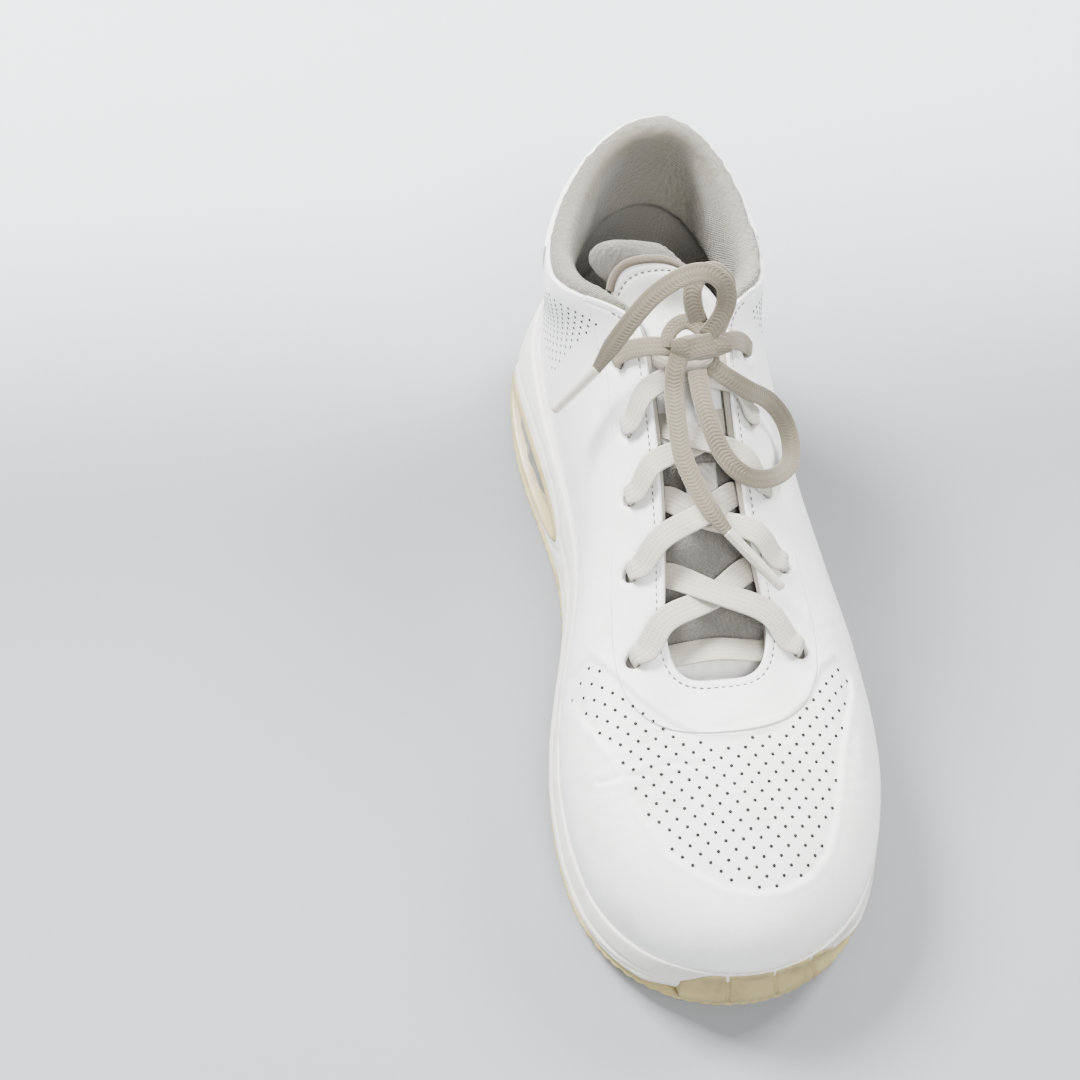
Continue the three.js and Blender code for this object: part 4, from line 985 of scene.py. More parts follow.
def tongue():
    """Padded tongue, its leather panels, binding and woven label."""
    us = np.concatenate([np.linspace(-0.6, 9, 110), [9, 9, 9, 9]])
    grow = np.concatenate([np.zeros(110), [0.55, 0.85, 1, 1]])
    fat = np.concatenate([np.ones(110), [0.9, 0.62, 0.3, 0.1]])
    across = np.linspace(0, 8, 34)
    rings = []
    lengths = unit(tongue_surface(9.0, across) - tongue_surface(8.8, across))
    for k, u in enumerate(us):
        swell = 1.2 * smoothstep(7.2, 8.9, u)
        front, back = 0.9 - swell, 6.0 + 0.8 * swell
        middle, half = (front + back) / 2, (back - front) / 2 * fat[k]
        taper = 1 - 0.35 * (np.abs(across - 4) / 4) ** 6
        f = tongue_point(np.full(34, u), across, middle - half * taper)
        b = tongue_point(np.full(34, u), across, middle + half * taper)
        ring = np.concatenate([f, b[::-1]])
        corner = np.abs(across - 4) / 4
        droop = smoothstep(7.6, 9, u) * 3.6 * corner ** 6
        shift = lengths * (2.8 * grow[k] * (1 - corner ** 6) - droop)[:, None]
        ring = ring + np.concatenate([shift, shift[::-1]])
        rings.append(ring)
    rings = np.array(rings)
    m = rings.shape[1]
    faces, first, last = tube_faces(*rings.shape[:2])
    half = m // 2
    for base, order in ((first, 1), (last, -1)):
        faces += [[base[i], base[i + 1], base[m - 2 - i], base[m - 1 - i]][::order] for i in range(half - 1)]
    obj = flip_if_inside_out(make_mesh("Padded tongue", rings.reshape(-1, 3), faces))
    plump(obj, 0.0009)
    finish_piece(obj, "Tongue fleece", "tongue", "tongue_shell", "tongue_foam", "tongue_lining")

    arch = lambda v: 8.5 - 0.8 * (np.abs(v - 4) / 4) ** 3
    pucker = lambda u, v: 0.25 * np.exp(-((arch(v) - 0.28 - u) / 0.05) ** 2) + 0.2 * np.sin(u * 5 + v) * 0.3
    panel = tongue_patch(lambda v: 4.6 + 0 * v, arch, 0.25, 7.75, 80, 70, 0.6 + 1.0, 1.8, pucker)
    finish_piece(open_sheet("Tongue leather panel", panel, flip=True), "White leather", "tongue")
    ruffle = lambda v: 1.35 + 0.12 * np.sin(v * 9) + 0.05 * np.sin(v * 23)
    waves = lambda u, v: 0.35 * np.sin(v * 9) * smoothstep(0.5, 1.4, u)
    base = tongue_patch(lambda v: 0 * v - 0.95, ruffle, 0.3, 7.7, 40, 90, 1.5, 1.8, waves)
    finish_piece(open_sheet("Tongue base leather", base, flip=True), "White leather", "tongue")
    v = np.linspace(0.4, 7.6, 60)
    line = tongue_point(arch(v) + 0.06, v, np.full(60, -1.4))
    facing = tongue_out(arch(v), v)
    bind, _ = ribbon("Tongue binding", line, facing, np.full(60, 1.5), 1.6, 118, sides=10, power=0.8)
    finish_piece(bind, "Beige binding", "tongue")
    u = np.linspace(3.62, 4.38, 14)[:, None]
    w = np.linspace(3.1, 4.9, 14)[None]
    bow = lambda w: 0.5 * (1 - ((w - 4) / 0.9) ** 2)
    top = tongue_point(u + 0 * w, w + 0 * u, -(1.6 + bow(w)) + 0 * u)
    under = tongue_point(u + 0 * w, w + 0 * u, -(0.7 + bow(w)) + 0 * u)
    uv = np.stack(np.broadcast_arrays((u - 4) * 13, (w - 4) * 5.5), -1)
    label = flip_if_inside_out(thick_sheet("Tongue label", top, under, uv=uv))
    finish_piece(label, "Tongue label", "tongue", "tongue_keeper")


# ---------------------------------------------------------------- sole
def bottom_at(y):
    """Height of the underside of the sole, which curls up at toe and heel."""
    return np.maximum(profile(SOLE_BOTTOM, y), 0)


def bumper_cover(t, edge=0.45):
    """1 where the toe rubber lies, a little further round on the lateral side."""
    from_tip = np.where(np.mod(t, 24) > 12, np.mod(t, 24) - 24, np.mod(t, 24))
    return smoothstep(-edge, 0, np.minimum(from_tip - BUMPER_SPAN[0], BUMPER_SPAN[1] - from_tip))


BUMPER_SPAN = (-0.95, 1.5)


def wall_point(t, s):
    """Midsole surface: s is 0 at the outsole, 3 on the shoulder, 4 at the leather, 5.5 under it."""
    t, s = np.broadcast_arrays(np.asarray(t, float), np.asarray(s, float))
    feather = feather_inset(t)
    bumper = 2.0 * bumper_cover(t)
    stops = [3.5 + bumper, 1.2 + bumper, 0 + bumper, 0.22 * feather + 0.8 * bumper,
             0.62 * feather, feather + 0.1, feather + 1.6]
    heights = [0, 0.1, 0.35, 0.72, 1, 1, 1]
    lifts = [0, 0, 0, 0, 1.4, 1.7, 1.3]
    i = np.clip(s.astype(int), 0, 5)
    f = s - i
    table = np.stack([np.broadcast_to(v, t.shape) for v in stops], -1)
    pad = lambda q: np.concatenate([2 * q[..., :1] - q[..., 1:2], q, 2 * q[..., -1:] - q[..., -2:-1]], -1)

    def along(q):
        q = pad(q)
        pick = lambda k: np.take_along_axis(q, (i + k)[..., None], -1)[..., 0]
        a, b, c, d = pick(0), pick(1), pick(2), pick(3)
        return through(a, b, c, d, f)
    inset = along(table)
    level = along(np.broadcast_to(np.array(heights, float), table.shape))
    lift = along(np.broadcast_to(np.array(lifts, float), table.shape))
    point = sole_ring(t, inset)
    low = bottom_at(point[..., 1]) + OUTSOLE + 0.1
    point[..., 2] = low + (profile(SOLE_TOP, point[..., 1]) - low) * level + lift
    return point


def lens(y, z, grow=0.0):
    """Below 1 inside the air window."""
    along = (y - WINDOW_Y) / (WINDOW_LONG + grow)
    return along ** 2 + (np.abs(z - WINDOW_Z) / (WINDOW_TALL + grow)) ** 1.667


def sculpted(points, t):
    """Depth of the grooves pressed into the side wall."""
    y, z = points[..., 1], points[..., 2]
    low = bottom_at(y) + OUTSOLE
    share = (z - low) / (profile(SOLE_TOP, y) - low)
    depth = np.zeros(t.shape)
    side = smoothstep(0.9, 1.5, wrap(t)) * smoothstep(7.2, 6.4, wrap(t)) * (1 - bumper_cover(t))
    for level in (0.26, 0.66):
        spread = smoothstep(0.8, 3.2, wrap(t))
        line = 0.5 + (level - 0.5) * (0.25 + 0.75 * spread) + 0.1 * spread * np.sin((y + 60) / 34)
        depth += 0.95 * side * np.exp(-(((share - line) * 15) / 0.9) ** 2)
    sweep = smoothstep(6.2, 6.8, wrap(t)) * smoothstep(11.6, 10.8, wrap(t))
    over = lens(y, z, 6.5)
    depth += 0.7 * sweep * np.exp(-((over - 1) / 0.07) ** 2)
    return depth


def sole_side(y, z, side):
    """Place on the uncut side wall at that length and height."""
    hit = WALL.ray_cast(Vector((side * 90, y, z)), Vector((-side, 0, 0)))[0]
    return np.array(hit) if hit else np.array([side * 46.0, y, z])


RING_T = np.arange(0, 24, 0.05)
WALL_S = np.concatenate([np.linspace(0, 4, 62), np.linspace(4, 6, 12)[1:]])


def wall_tree():
    """Uncut side wall of the midsole, for finding places on it."""
    points = wall_point(RING_T[::2, None], WALL_S[None, ::2])
    quads = sheet_quads(*points.shape[:2], joined=True)
    return BVHTree.FromPolygons([Vector(p) for p in points.reshape(-1, 3)], quads.tolist())


WALL = wall_tree()


def midsole():
    """Foam midsole with its pressed grooves and the two hollows of the air window."""
    t = np.broadcast_to(RING_T[:, None], (len(RING_T), len(WALL_S)))
    points = wall_point(t, WALL_S[None])
    out = outward(t)
    inside = smoothstep(1.0, 0.72, lens(points[..., 1], points[..., 2])) * (np.abs(points[..., 0]) > 25)
    inside = inside * smoothstep(5, 4, np.broadcast_to(WALL_S[None], t.shape))
    depth = sculpted(points, t) * (1 - inside) + 8.5 * inside + 0.12 * soft_noise(points, 30, 1.1)
    points = points - out * depth[..., None]
    under = sole_ring(RING_T, np.full(len(RING_T), 6.0))
    under[:, 2] = bottom_at(under[:, 1]) + OUTSOLE + 0.1
    points = np.concatenate([under[:, None], points], 1)
    obj = open_sheet("Midsole", points, joined=True)
    bend_piece(obj, "Midsole foam", "midsole_rear", "midsole_forefoot")


def window_ring(side, grow):
    """Ring on the side wall round the air window, grown by that many millimetres."""
    a = np.arange(128) * 2 * math.pi / 128
    lift = np.sign(np.sin(a)) * np.abs(np.sin(a)) ** 1.2
    y = WINDOW_Y + (WINDOW_LONG + grow) * np.cos(a)
    z = WINDOW_Z + (WINDOW_TALL + grow) * lift
    return np.array([sole_side(yy, zz, side) for yy, zz in zip(y, z)])


def air_window():
    """Clear rims and the gas-filled bag that shows through them."""
    for name, side in (("lateral", 1), ("medial", -1)):
        section = [(-1.3, 4.5), (-1.1, 0.6), (-0.5, -0.55), (0.7, -0.7), (1.9, -0.35), (2.7, 0.5), (2.7, 1.5)]
        loops = []
        for grow, depth in section:
            ring = window_ring(side, grow)
            ring[:, 0] -= side * depth
            loops.append(ring)
        grid = np.stack(loops, 1)
        obj = open_sheet(f"Window rim {name}", grid, joined=True, flip=side > 0)
        finish_piece(obj, "Window rim", "rear_shoe", f"window_rim_{name}")
        layers = []
        for share in (1.0, 0.97, 0.9, 0.78, 0.6, 0.4, 0.2, 0.001):
            ring = window_ring(side, -1.0)
            middle = np.array([ring[:, 0].mean(), WINDOW_Y, WINDOW_Z])
            spot = middle + (ring - middle) * share
            spot[:, 0] = np.array([sole_side(p[1], p[2], side)[0] for p in spot])
            ribs = 0.35 * np.cos((spot[:, 1] - WINDOW_Y) * 2 * math.pi / 14)
            spot[:, 0] -= side * (1.6 + 4.5 * share ** 4 - ribs * (1 - share ** 4))
            layers.append(spot)
        obj = open_sheet(f"Air bag {name}", np.stack(layers, 1), joined=True, flip=side > 0)
        finish_piece(obj, "Air bag film", "rear_shoe", *(["air_unit"] if side > 0 else []))


TREAD_RIB = (5.0, 1.7, 1.6)  # long, wide and high, mm


def outsole():
    """Rubber outsole with a herringbone tread."""
    levels = [(9.0, 1.5), (5.0, 1.4), (2.6, 1.5), (1.3, 1.9), (0.5, 2.6), (0.3, 3.2), (0.8, 3.7), (5.0, 3.6)]
    t = RING_T
    rings = []
    for inset, lift in levels:
        notch = 0.4 * (np.sin(t * 12 * math.pi) > 0.3) * (1.6 < lift) * (lift < 3.3)
        ring = sole_ring(t, inset + notch)
        ring[:, 2] = bottom_at(ring[:, 1]) + lift
        rings.append(ring)
    rings.insert(0, rings[0] * [0.02, 1, 1])
    obj = open_sheet("Outsole", np.stack(rings, 1), joined=True)
    bend_piece(obj, "Cream rubber", "outsole_rear", "outsole_forefoot")
    corners = sole_ring(np.arange(0, 24, 0.25), np.full(96, 6.4))[:, :2]
    places, headings = [], []
    for y in np.arange(-131, 136, 4.6):
        for col in range(-12, 13):
            x = col * 4.4
            spot = np.array([x, y + (1.1 if col % 2 else -1.1)])
            if polygon_distance(spot[:1], spot[1:], corners)[0] < -2.2:
                places.append([x, spot[1], float(bottom_at(spot[1])) + 0.8])
                headings.append([1, 0.75 if col % 2 else -0.75, 0])
    places = np.array(places)
    slope = (bottom_at(places[:, 1] + 1) - bottom_at(places[:, 1] - 1)) / 2
    facing = unit(np.stack([0 * slope, -slope, 0 * slope + 1], -1))
    headings = np.array(headings, float)
    obj = scatter("Tread ribs", places, facing, headings, TREAD_RIB, "Cream rubber", "block")
    bend_piece(obj, "Cream rubber")


def toe_bumper():
    """Rubber that wraps up over the toe, cut into blocks by curved grooves."""
    ts = np.arange(BUMPER_SPAN[0], BUMPER_SPAN[1] + 0.001, 0.012)
    s = np.linspace(0.0, 1.0, 44)
    t = np.broadcast_to(ts[:, None], (len(ts), len(s)))
    left, right = BUMPER_SPAN
    end = smoothstep(0, 0.5, np.minimum(ts - left, right - ts))[:, None]
    base = wall_point(t, 0.02 + (2.6 + 1.45 * end) * s[None])
    edges = smoothstep(0, 0.05, s) * smoothstep(1.0, 0.95, s)
    swell = ((2.2 * smoothstep(0.86, 0.5, s) + 1.1) * edges)[None]
    swell = swell * smoothstep(0, 0.12, np.minimum(ts - left, right - ts))[:, None] - 0.5
    grooves = np.zeros(t.shape)
    for at in (-0.35, 0.3, 0.9):
        line = at + 0.1 * (1 - ((s[None] - 0.1) / 0.9) ** 2)
        grooves += np.exp(-((t - line) * 25 / 0.75) ** 2)
    swell = swell - 0.9 * np.clip(grooves, 0, 1) * smoothstep(0, 0.1, s)[None]
    obj = open_sheet("Toe bumper", base + outward(t) * swell[..., None])
    finish_piece(obj, "Cream rubber", "forefoot", "toe_bumper")


def footbed():
    """Sockliner, slightly dished, with a rolled edge."""
    levels = [(5.0, 2.0), (4.9, 5.0), (5.3, 5.7), (6.4, 5.95), (9.0, 5.8), (14.0, 5.5), (22.0, 5.2),
              (32.0, 5.0)]
    rings = []
    for inset, lift in levels:
        ring = sole_ring(RING_T[::2], feather_inset(RING_T[::2]) * (1 if inset < 20 else 0.5) + inset)
        ring[:, 2] = profile(SOLE_TOP, ring[:, 1]) + lift
        rings.append(ring)
    last = rings[-1].copy()
    last[:, 0] *= 0.03
    last[:, 2] = profile(SOLE_TOP, last[:, 1]) + 4.9
    rings.append(last)
    obj = open_sheet("Footbed", np.stack(rings, 1), joined=True)
    bend_piece(obj, "Grey knit lining", "sockliner_rear", "sockliner_forefoot")


# ---------------------------------------------------------------- repeated details
def scatter_tree():
    """Places one small shape on every point, turned to its facing and heading."""
    tree = bpy.data.node_groups.new("Scatter details", "GeometryNodeTree")
    tree.interface.new_socket(name="Geometry", in_out="INPUT", socket_type="NodeSocketGeometry")
    size = tree.interface.new_socket(name="Size", in_out="INPUT", socket_type="NodeSocketVector")
    kind = tree.interface.new_socket(name="Round", in_out="INPUT", socket_type="NodeSocketInt")
    finish = tree.interface.new_socket(name="Finish", in_out="INPUT", socket_type="NodeSocketMaterial")
    tree.interface.new_socket(name="Geometry", in_out="OUTPUT", socket_type="NodeSocketGeometry")
    source, sink = tree.nodes.new("NodeGroupInput"), tree.nodes.new("NodeGroupOutput")
    block = add_node(tree, "GeometryNodeMeshCube", {"Size": (1, 1, 1)})
    disc = add_node(tree, "GeometryNodeMeshCylinder", {"Vertices": 10, "Radius": 0.5, "Depth": 1.0})
    seed = add_node(tree, "GeometryNodeMeshUVSphere", {"Segments": 8, "Rings": 4, "Radius": 0.5})
    shape = add_node(tree, "GeometryNodeIndexSwitch", data_type="GEOMETRY")
    shape.index_switch_items.new()
    tree.links.new(source.outputs["Round"], shape.inputs["Index"])
    tree.links.new(block.outputs["Mesh"], shape.inputs["0"])
    tree.links.new(disc.outputs["Mesh"], shape.inputs["1"])
    tree.links.new(seed.outputs["Mesh"], shape.inputs["2"])
    facing = add_node(tree, "GeometryNodeInputNamedAttribute", {"Name": "facing"}, data_type="FLOAT_VECTOR")
    heading = add_node(tree, "GeometryNodeInputNamedAttribute", {"Name": "heading"}, data_type="FLOAT_VECTOR")
    stand = add_node(tree, "FunctionNodeAlignRotationToVector", {
        "Vector": facing.outputs["Attribute"]}, axis="Z")
    turn = add_node(tree, "FunctionNodeAlignRotationToVector", {
        "Rotation": stand.outputs["Rotation"], "Vector": heading.outputs["Attribute"],
    }, axis="X", pivot_axis="Z")
    placed = add_node(tree, "GeometryNodeInstanceOnPoints", {
        "Points": source.outputs["Geometry"], "Instance": shape.outputs["Output"],
        "Rotation": turn.outputs["Rotation"], "Scale": source.outputs["Size"]})
    real = add_node(tree, "GeometryNodeRealizeInstances", {"Geometry": placed.outputs["Instances"]})
    painted = add_node(tree, "GeometryNodeSetMaterial", {
        "Geometry": real.outputs["Geometry"], "Material": source.outputs["Finish"]})
    tree.links.new(painted.outputs["Geometry"], sink.inputs["Geometry"])
    return tree, size.identifier, kind.identifier, finish.identifier


SCATTER = scatter_tree()


def scatter(name, places, facing, heading, size, finish, shape):
    """One mesh of many small blocks, discs or stitches; size is in millimetres."""
    name = piece_name(name)
    mesh = bpy.data.meshes.new(name)
    mesh.from_pydata(to_world(places).tolist(), [], [])
    for label, values in (("facing", facing), ("heading", heading)):
        layer = mesh.attributes.new(label, "FLOAT_VECTOR", "POINT")
        layer.data.foreach_set("vector", np.asarray(values, np.float32).ravel())
    obj = bpy.data.objects.new(name, mesh)
    bpy.context.scene.collection.objects.link(obj)
    tree, size_id, kind_id, finish_id = SCATTER
    work = obj.modifiers.new("Scatter", "NODES")
    work.node_group = tree
    work[size_id] = [v / 1000 for v in size]
    work[kind_id] = {"block": 0, "disc": 1, "stitch": 2}[shape]
    work[finish_id] = finish_named(finish)
    obj.update_tag()
    bpy.context.view_layer.update()
    settle(obj)
    if not obj.data.polygons:
        raise RuntimeError(f"{name}: nothing was scattered")
    if shape != "block":
        obj.data.shade_smooth()
    return obj


def seam(points, normals, pitch):
    """Stitch places, facings and headings at an even pitch along a line of points."""
    points, normals = np.asarray(points), np.asarray(normals)
    walked = np.concatenate([[0], np.cumsum(np.linalg.norm(np.diff(points, axis=0), axis=1))])
    at = np.arange(pitch / 2, walked[-1], pitch)
    pick = lambda q: np.stack([np.interp(at, walked, q[:, k]) for k in range(3)], -1)
    place, facing = pick(points), unit(pick(normals))
    ahead = np.stack([np.interp(at + 0.3, walked, points[:, k]) for k in range(3)], -1)
    return place, facing, unit(ahead - place + 1e-6)


# Dots: across, across and high, mm. Stitches: long, wide and high, mm.
VAMP_DOT, SIDE_DOT = (1.15, 1.15, 0.12), (0.95, 0.95, 0.12)
THROAT_STITCH, HEEL_STITCH, TONGUE_STITCH = (1.55, 0.5, 0.4), (1.5, 0.42, 0.3), (1.5, 0.5, 0.4)


def perforations():
    """Punched dots over the vamp and on both heel sides, each a near-black disc on the leather: painted shade
    for the inside of the hole.
    """
    places, facings = [], []
    for row, y in enumerate(np.arange(-123, -38, 2.85)):
        for x in np.arange(-51 + (2.7 if row % 2 else 0), 51, 5.4):
            if polygon_distance(np.array([x]), np.array([y]), VAMP_PANEL)[0] < -1.1:
                places.append((x, y))
    ts, hs = np.meshgrid(np.arange(-5, 5.001, 0.08), np.linspace(0.2, 0.95, 90), indexing="ij")
    surface = upper_surface(ts, hs)
    depth = leather_relief(surface, ts, hs)
    normal = upper_normal(ts, hs)
    flat, normal = (surface - normal * depth[..., None]).reshape(-1, 3), normal.reshape(-1, 3)
    spots = []
    for x, y in places:
        away = (flat[:, 0] - x) ** 2 + (flat[:, 1] - y) ** 2
        near = np.argpartition(away, 6)[:6]
        weight = 1 / (away[near] + 0.05)
        n = unit((normal[near] * weight[:, None]).sum(0))
        z = (flat[near] * weight[:, None]).sum(0) / weight.sum()
        spot = np.array([x, y, z[2] - (n[0] * (x - z[0]) + n[1] * (y - z[1])) / n[2]])
        spots.append(spot + n * 0.07)
        facings.append(n)
    heading = np.tile([1.0, 0, 0], (len(spots), 1))
    spots, facings = np.array(spots), np.array(facings)
    # Each dot is a dark disc laid just over the leather, painted shade where the hole is
    obj = scatter("Vamp perforations", spots, facings, heading, VAMP_DOT, "Dark punch", "disc")
    bend_piece(obj, "Dark punch")
    for name, a, b in (("lateral", 8.3, 9.85), ("medial", 14.2, 15.7)):
        t, h = [], []
        for row in range(14):
            for col in range(8):
                spot = a + 0.1 + (b - a - 0.2) * (col + (0.5 if row % 2 else 0)) / 7.5
                if spot < b:
                    t.append(spot)
                    h.append(0.26 + row * 0.045)
        t, h = np.array(t), np.array(h)
        n = upper_normal(t, h)
        p = upper_surface(t, h)
        p = p - n * (leather_relief(p, t, h) - 0.04)[:, None]
        heading = np.tile([0, 1.0, 0], (len(p), 1))
        obj = scatter(f"Side perforations {name}", p, n, heading, SIDE_DOT, "Dark punch", "disc")
        finish_piece(obj, "Dark punch", "rear_shoe")


def stitching():
    """Rows of thread along the throat, the heel panel and the tongue."""
    def on_leather(ts, hs, lift):
        n = upper_normal(ts, hs)
        return upper_surface(ts, hs) + n * lift, n
    ts = np.arange(-8.4, 8.4001, 0.03)
    p, n = on_leather(ts, below_edge(ts, THROAT_SEAM), 0.1)
    obj = scatter("Throat stitches", *seam(p, n, 2.3), THROAT_STITCH, "Dark stitch", "stitch")
    bend_piece(obj, "Dark stitch")
    for name, at in (("lateral", 10.27), ("medial", 13.73)):
        hs = np.linspace(0.03, 0.92, 120)
        p, n = on_leather(np.full(120, at), hs, 0.72)
        obj = scatter(f"Heel panel stitches {name}", *seam(p, n, 2.3), HEEL_STITCH, "Stitch thread", "stitch")
        finish_piece(obj, "Stitch thread", "rear_shoe")
    v = np.linspace(0.8, 7.2, 80)
    u = 8.22 - 0.8 * (np.abs(v - 4) / 4) ** 3
    p = tongue_point(u, v, np.full(80, -1.5))
    obj = scatter("Tongue stitches", *seam(p, tongue_out(u, v), 2.2), TONGUE_STITCH, "Dark stitch", "stitch")
    finish_piece(obj, "Dark stitch", "tongue")


# ---------------------------------------------------------------- laces
LACE_HALF, LACE_THICK = 4.1, 1.2  # lower lace, mm


def lace_run(name, from_side, row, lift, node):
    """From one eyelet over the edge, across the throat and up under the other side."""
    start, end = EYELETS[from_side][row], EYELETS[-from_side][row - 1]
    inward = unit(start["edge"] - start["point"])
    back = unit(end["edge"] - end["point"])
    y0, y1 = EYELET_ROWS[row], EYELET_ROWS[row - 1]

    def rim(side, share, depth):
        t = column_near(side, y0 + (y1 - y0) * share)
        return upper_point(t, 1.0, depth), upper_normal(t, 1.0)
    over, over_n = rim(from_side, 0.22, -2.6)
    under, under_n = rim(-from_side, 0.8, 5.2)
    middle = (rim(from_side, 0.5, 0)[0] + rim(-from_side, 0.5, 0)[0]) / 2 + UP * lift
    p, n = start["point"], start["normal"]
    last = end["point"] - 5.2 * end["normal"] + 3.2 * back
    points = [p - 5.4 * n, p - n, p + 2.1 * n + inward, p + 2.1 * n + 5 * inward, over, middle, under, last]
    normals = [-inward, -inward, n - inward, n, over_n, UP, under_n, end["normal"]]
    halves = [2.0, 2.0, 2.7, LACE_HALF, LACE_HALF, LACE_HALF, LACE_HALF, 3]
    obj, _ = ribbon(name, points, normals, halves, LACE_THICK, 84)
    finish_piece(obj, "Lower lace", "rear_shoe", node)


KNOT = np.array([2, 35.5, 113.2])
BOW_FACE = np.array([-0.15, -0.55, 0.82])


def lower_laces():
    """Eight crossings and the bar under the bottom eyelets."""
    for row in (4, 3, 2, 1):
        first = row % 2 == 0
        lace_run(f"Lace {row} from lateral", 1, row, 1.7 if first else -1.1, f"lace_{row}_lateral")
        lace_run(f"Lace {row} from medial", -1, row, -1.1 if first else 1.7, f"lace_{row}_medial")
    ends = []
    for side in (1, -1):
        e = EYELETS[side][4]
        ends.append(e["point"] - 6.1 * e["normal"] + 3.4 * unit(e["edge"] - e["point"]))
    middle = (ends[0] + ends[1]) / 2 + UP * 4
    points = [ends[0], (ends[0] + middle) / 2, middle, (ends[1] + middle) / 2, ends[1]]
    normals = [EYELETS[1][4]["normal"], UP, UP, UP, EYELETS[-1][4]["normal"]]
    halves = [3, LACE_HALF, LACE_HALF, LACE_HALF, 3]
    obj, _ = ribbon("Lace bottom bar", points, normals, halves, LACE_THICK, 50)
    finish_piece(obj, "Lower lace", "rear_shoe", "lace_bottom_bar")
    for name, side in (("lateral", 1), ("medial", -1)):
        e = EYELETS[side][0]
        p, n = e["point"], e["normal"]
        inward = unit(e["edge"] - p)
        near = KNOT + np.array([side * 4.0, -0.5, -0.8])
        last = p + 2.1 * n + 5 * inward
        between = last * 0.45 + (KNOT + np.array([side * 6.0, 0, -1])) * 0.55 + UP * 2.5
        points = [p - 5.4 * n, p - n, p + 2.1 * n + inward, last, between, near]
        normals = [-inward, -inward, n - inward, n, UP + [0, -0.5, 0], UP + [0, -0.7, 0]]
        obj, _ = ribbon(f"Top lace {name}", points, normals, [2.0, 2.0, 2.7, 3.3, 3.1, 2.8], 1.8, 70)
        finish_piece(obj, "Bow lace", "rear_shoe", f"lace_top_{name}")


LOOP_UPPER = [
    (2.4, 41.9, 116.7), (0.3, 44.6, 121.8), (-0.1, 47.7, 126.4), (2, 50.7, 129.4), (6.6, 51.7, 130.2),
    (10.3, 50, 128), (11.2, 47.3, 122.6), (9.8, 44, 117), (7.2, 40, 113.4),
]
LOOP_LOWER = [
    (4.4, 30.6, 110.2), (9, 27.1, 108.5), (16.6, 25.7, 102.8), (26.2, 28, 92.5), (32, 25.8, 84.2),
    (33.1, 18.6, 81.1), (29.9, 9.2, 82.7), (21.6, 1.3, 87.8), (14.1, -0.7, 91.8), (9.2, 1, 94.8),
    (5.4, 5.2, 98), (2.9, 10.4, 101.8),
    (1.2, 16.3, 105.2), (0.3, 22.3, 107.7), (0, 28.7, 110),
]
TAIL_MEDIAL = [
    (3.7, 37.1, 116.4), (6.8, 38.8, 120), (9.2, 41, 123.9), (10, 43.1, 128), (8.2, 45.4, 132.2),
    (3.7, 47, 134.9),
    (-0.9, 46.9, 135.3), (-6.8, 45, 134.7), (-13.3, 43.3, 130.4),
    (-19.8, 40.6, 122.9), (-25.6, 38.9, 112.2), (-29.9, 38.6, 101),
]
TAIL_FRONT = [
    (-5, 33, 112.9), (-6.8, 29.5, 110.6), (-7.6, 25, 106.8), (-7.8, 18.7, 103.7), (-7.6, 11.5, 100.6),
    (-7.3, 5.5, 98.2),
    (-6, 0.6, 96.2), (-3.6, -5.7, 93.6), (0, -12.6, 90.8), (4.9, -18.3, 87),
]


def knot():
    """Core of the knot with the lace wrapped over it and the strap that holds the bow."""
    a = np.linspace(0, 2 * math.pi, 25)
    across, forward = np.array([0.98, 0.14, 0.1]), unit(BOW_FACE)
    points = KNOT + 4.8 * np.cos(a)[:, None] * across + 3.9 * np.sin(a)[:, None] * forward
    normals = np.cos(a)[:, None] * across / 4.8 + np.sin(a)[:, None] * forward / 3.9
    wrapped, _ = ribbon("Knot wrap", points, normals, np.full(25, 3.4), 1.8, 72, power=0.5)
    finish_piece(wrapped, "Bow lace", "rear_shoe", "lace_knot")
    points = [KNOT + [-9, 1, -0.8], KNOT + [-4.5, 0, 0.2], KNOT, KNOT + [4.5, 0, 0.2], KNOT + [9, 0.6, -0.8]]
    core, _ = ribbon("Knot core", points, [BOW_FACE] * 5, [2.6, 3.8, 4.3, 3.8, 2.4], 6.2, 40, power=0.75)
    finish_piece(core, "Bow lace", "rear_shoe")
    points = [(-8.2, 37.6, 111.4), (-7.4, 40.6, 114), (-4.6, 42.6, 116.4),
              (-1.2, 42.8, 117.2), (1.6, 41, 116.4), (3.2, 38.2, 115.2)]
    normals = [(-0.7, -0.3, 0.6), (-0.5, -0.4, 0.7), (-0.2, -0.5, 0.85),
               BOW_FACE, (0.1, -0.6, 0.8), (0.3, -0.6, 0.7)]
    strap, _ = ribbon("Knot strap", points, normals, [2.2, 2.5, 2.6, 2.6, 2.4, 2.0], 1.9, 50, power=0.6)
    finish_piece(strap, "Bow lace", "rear_shoe")


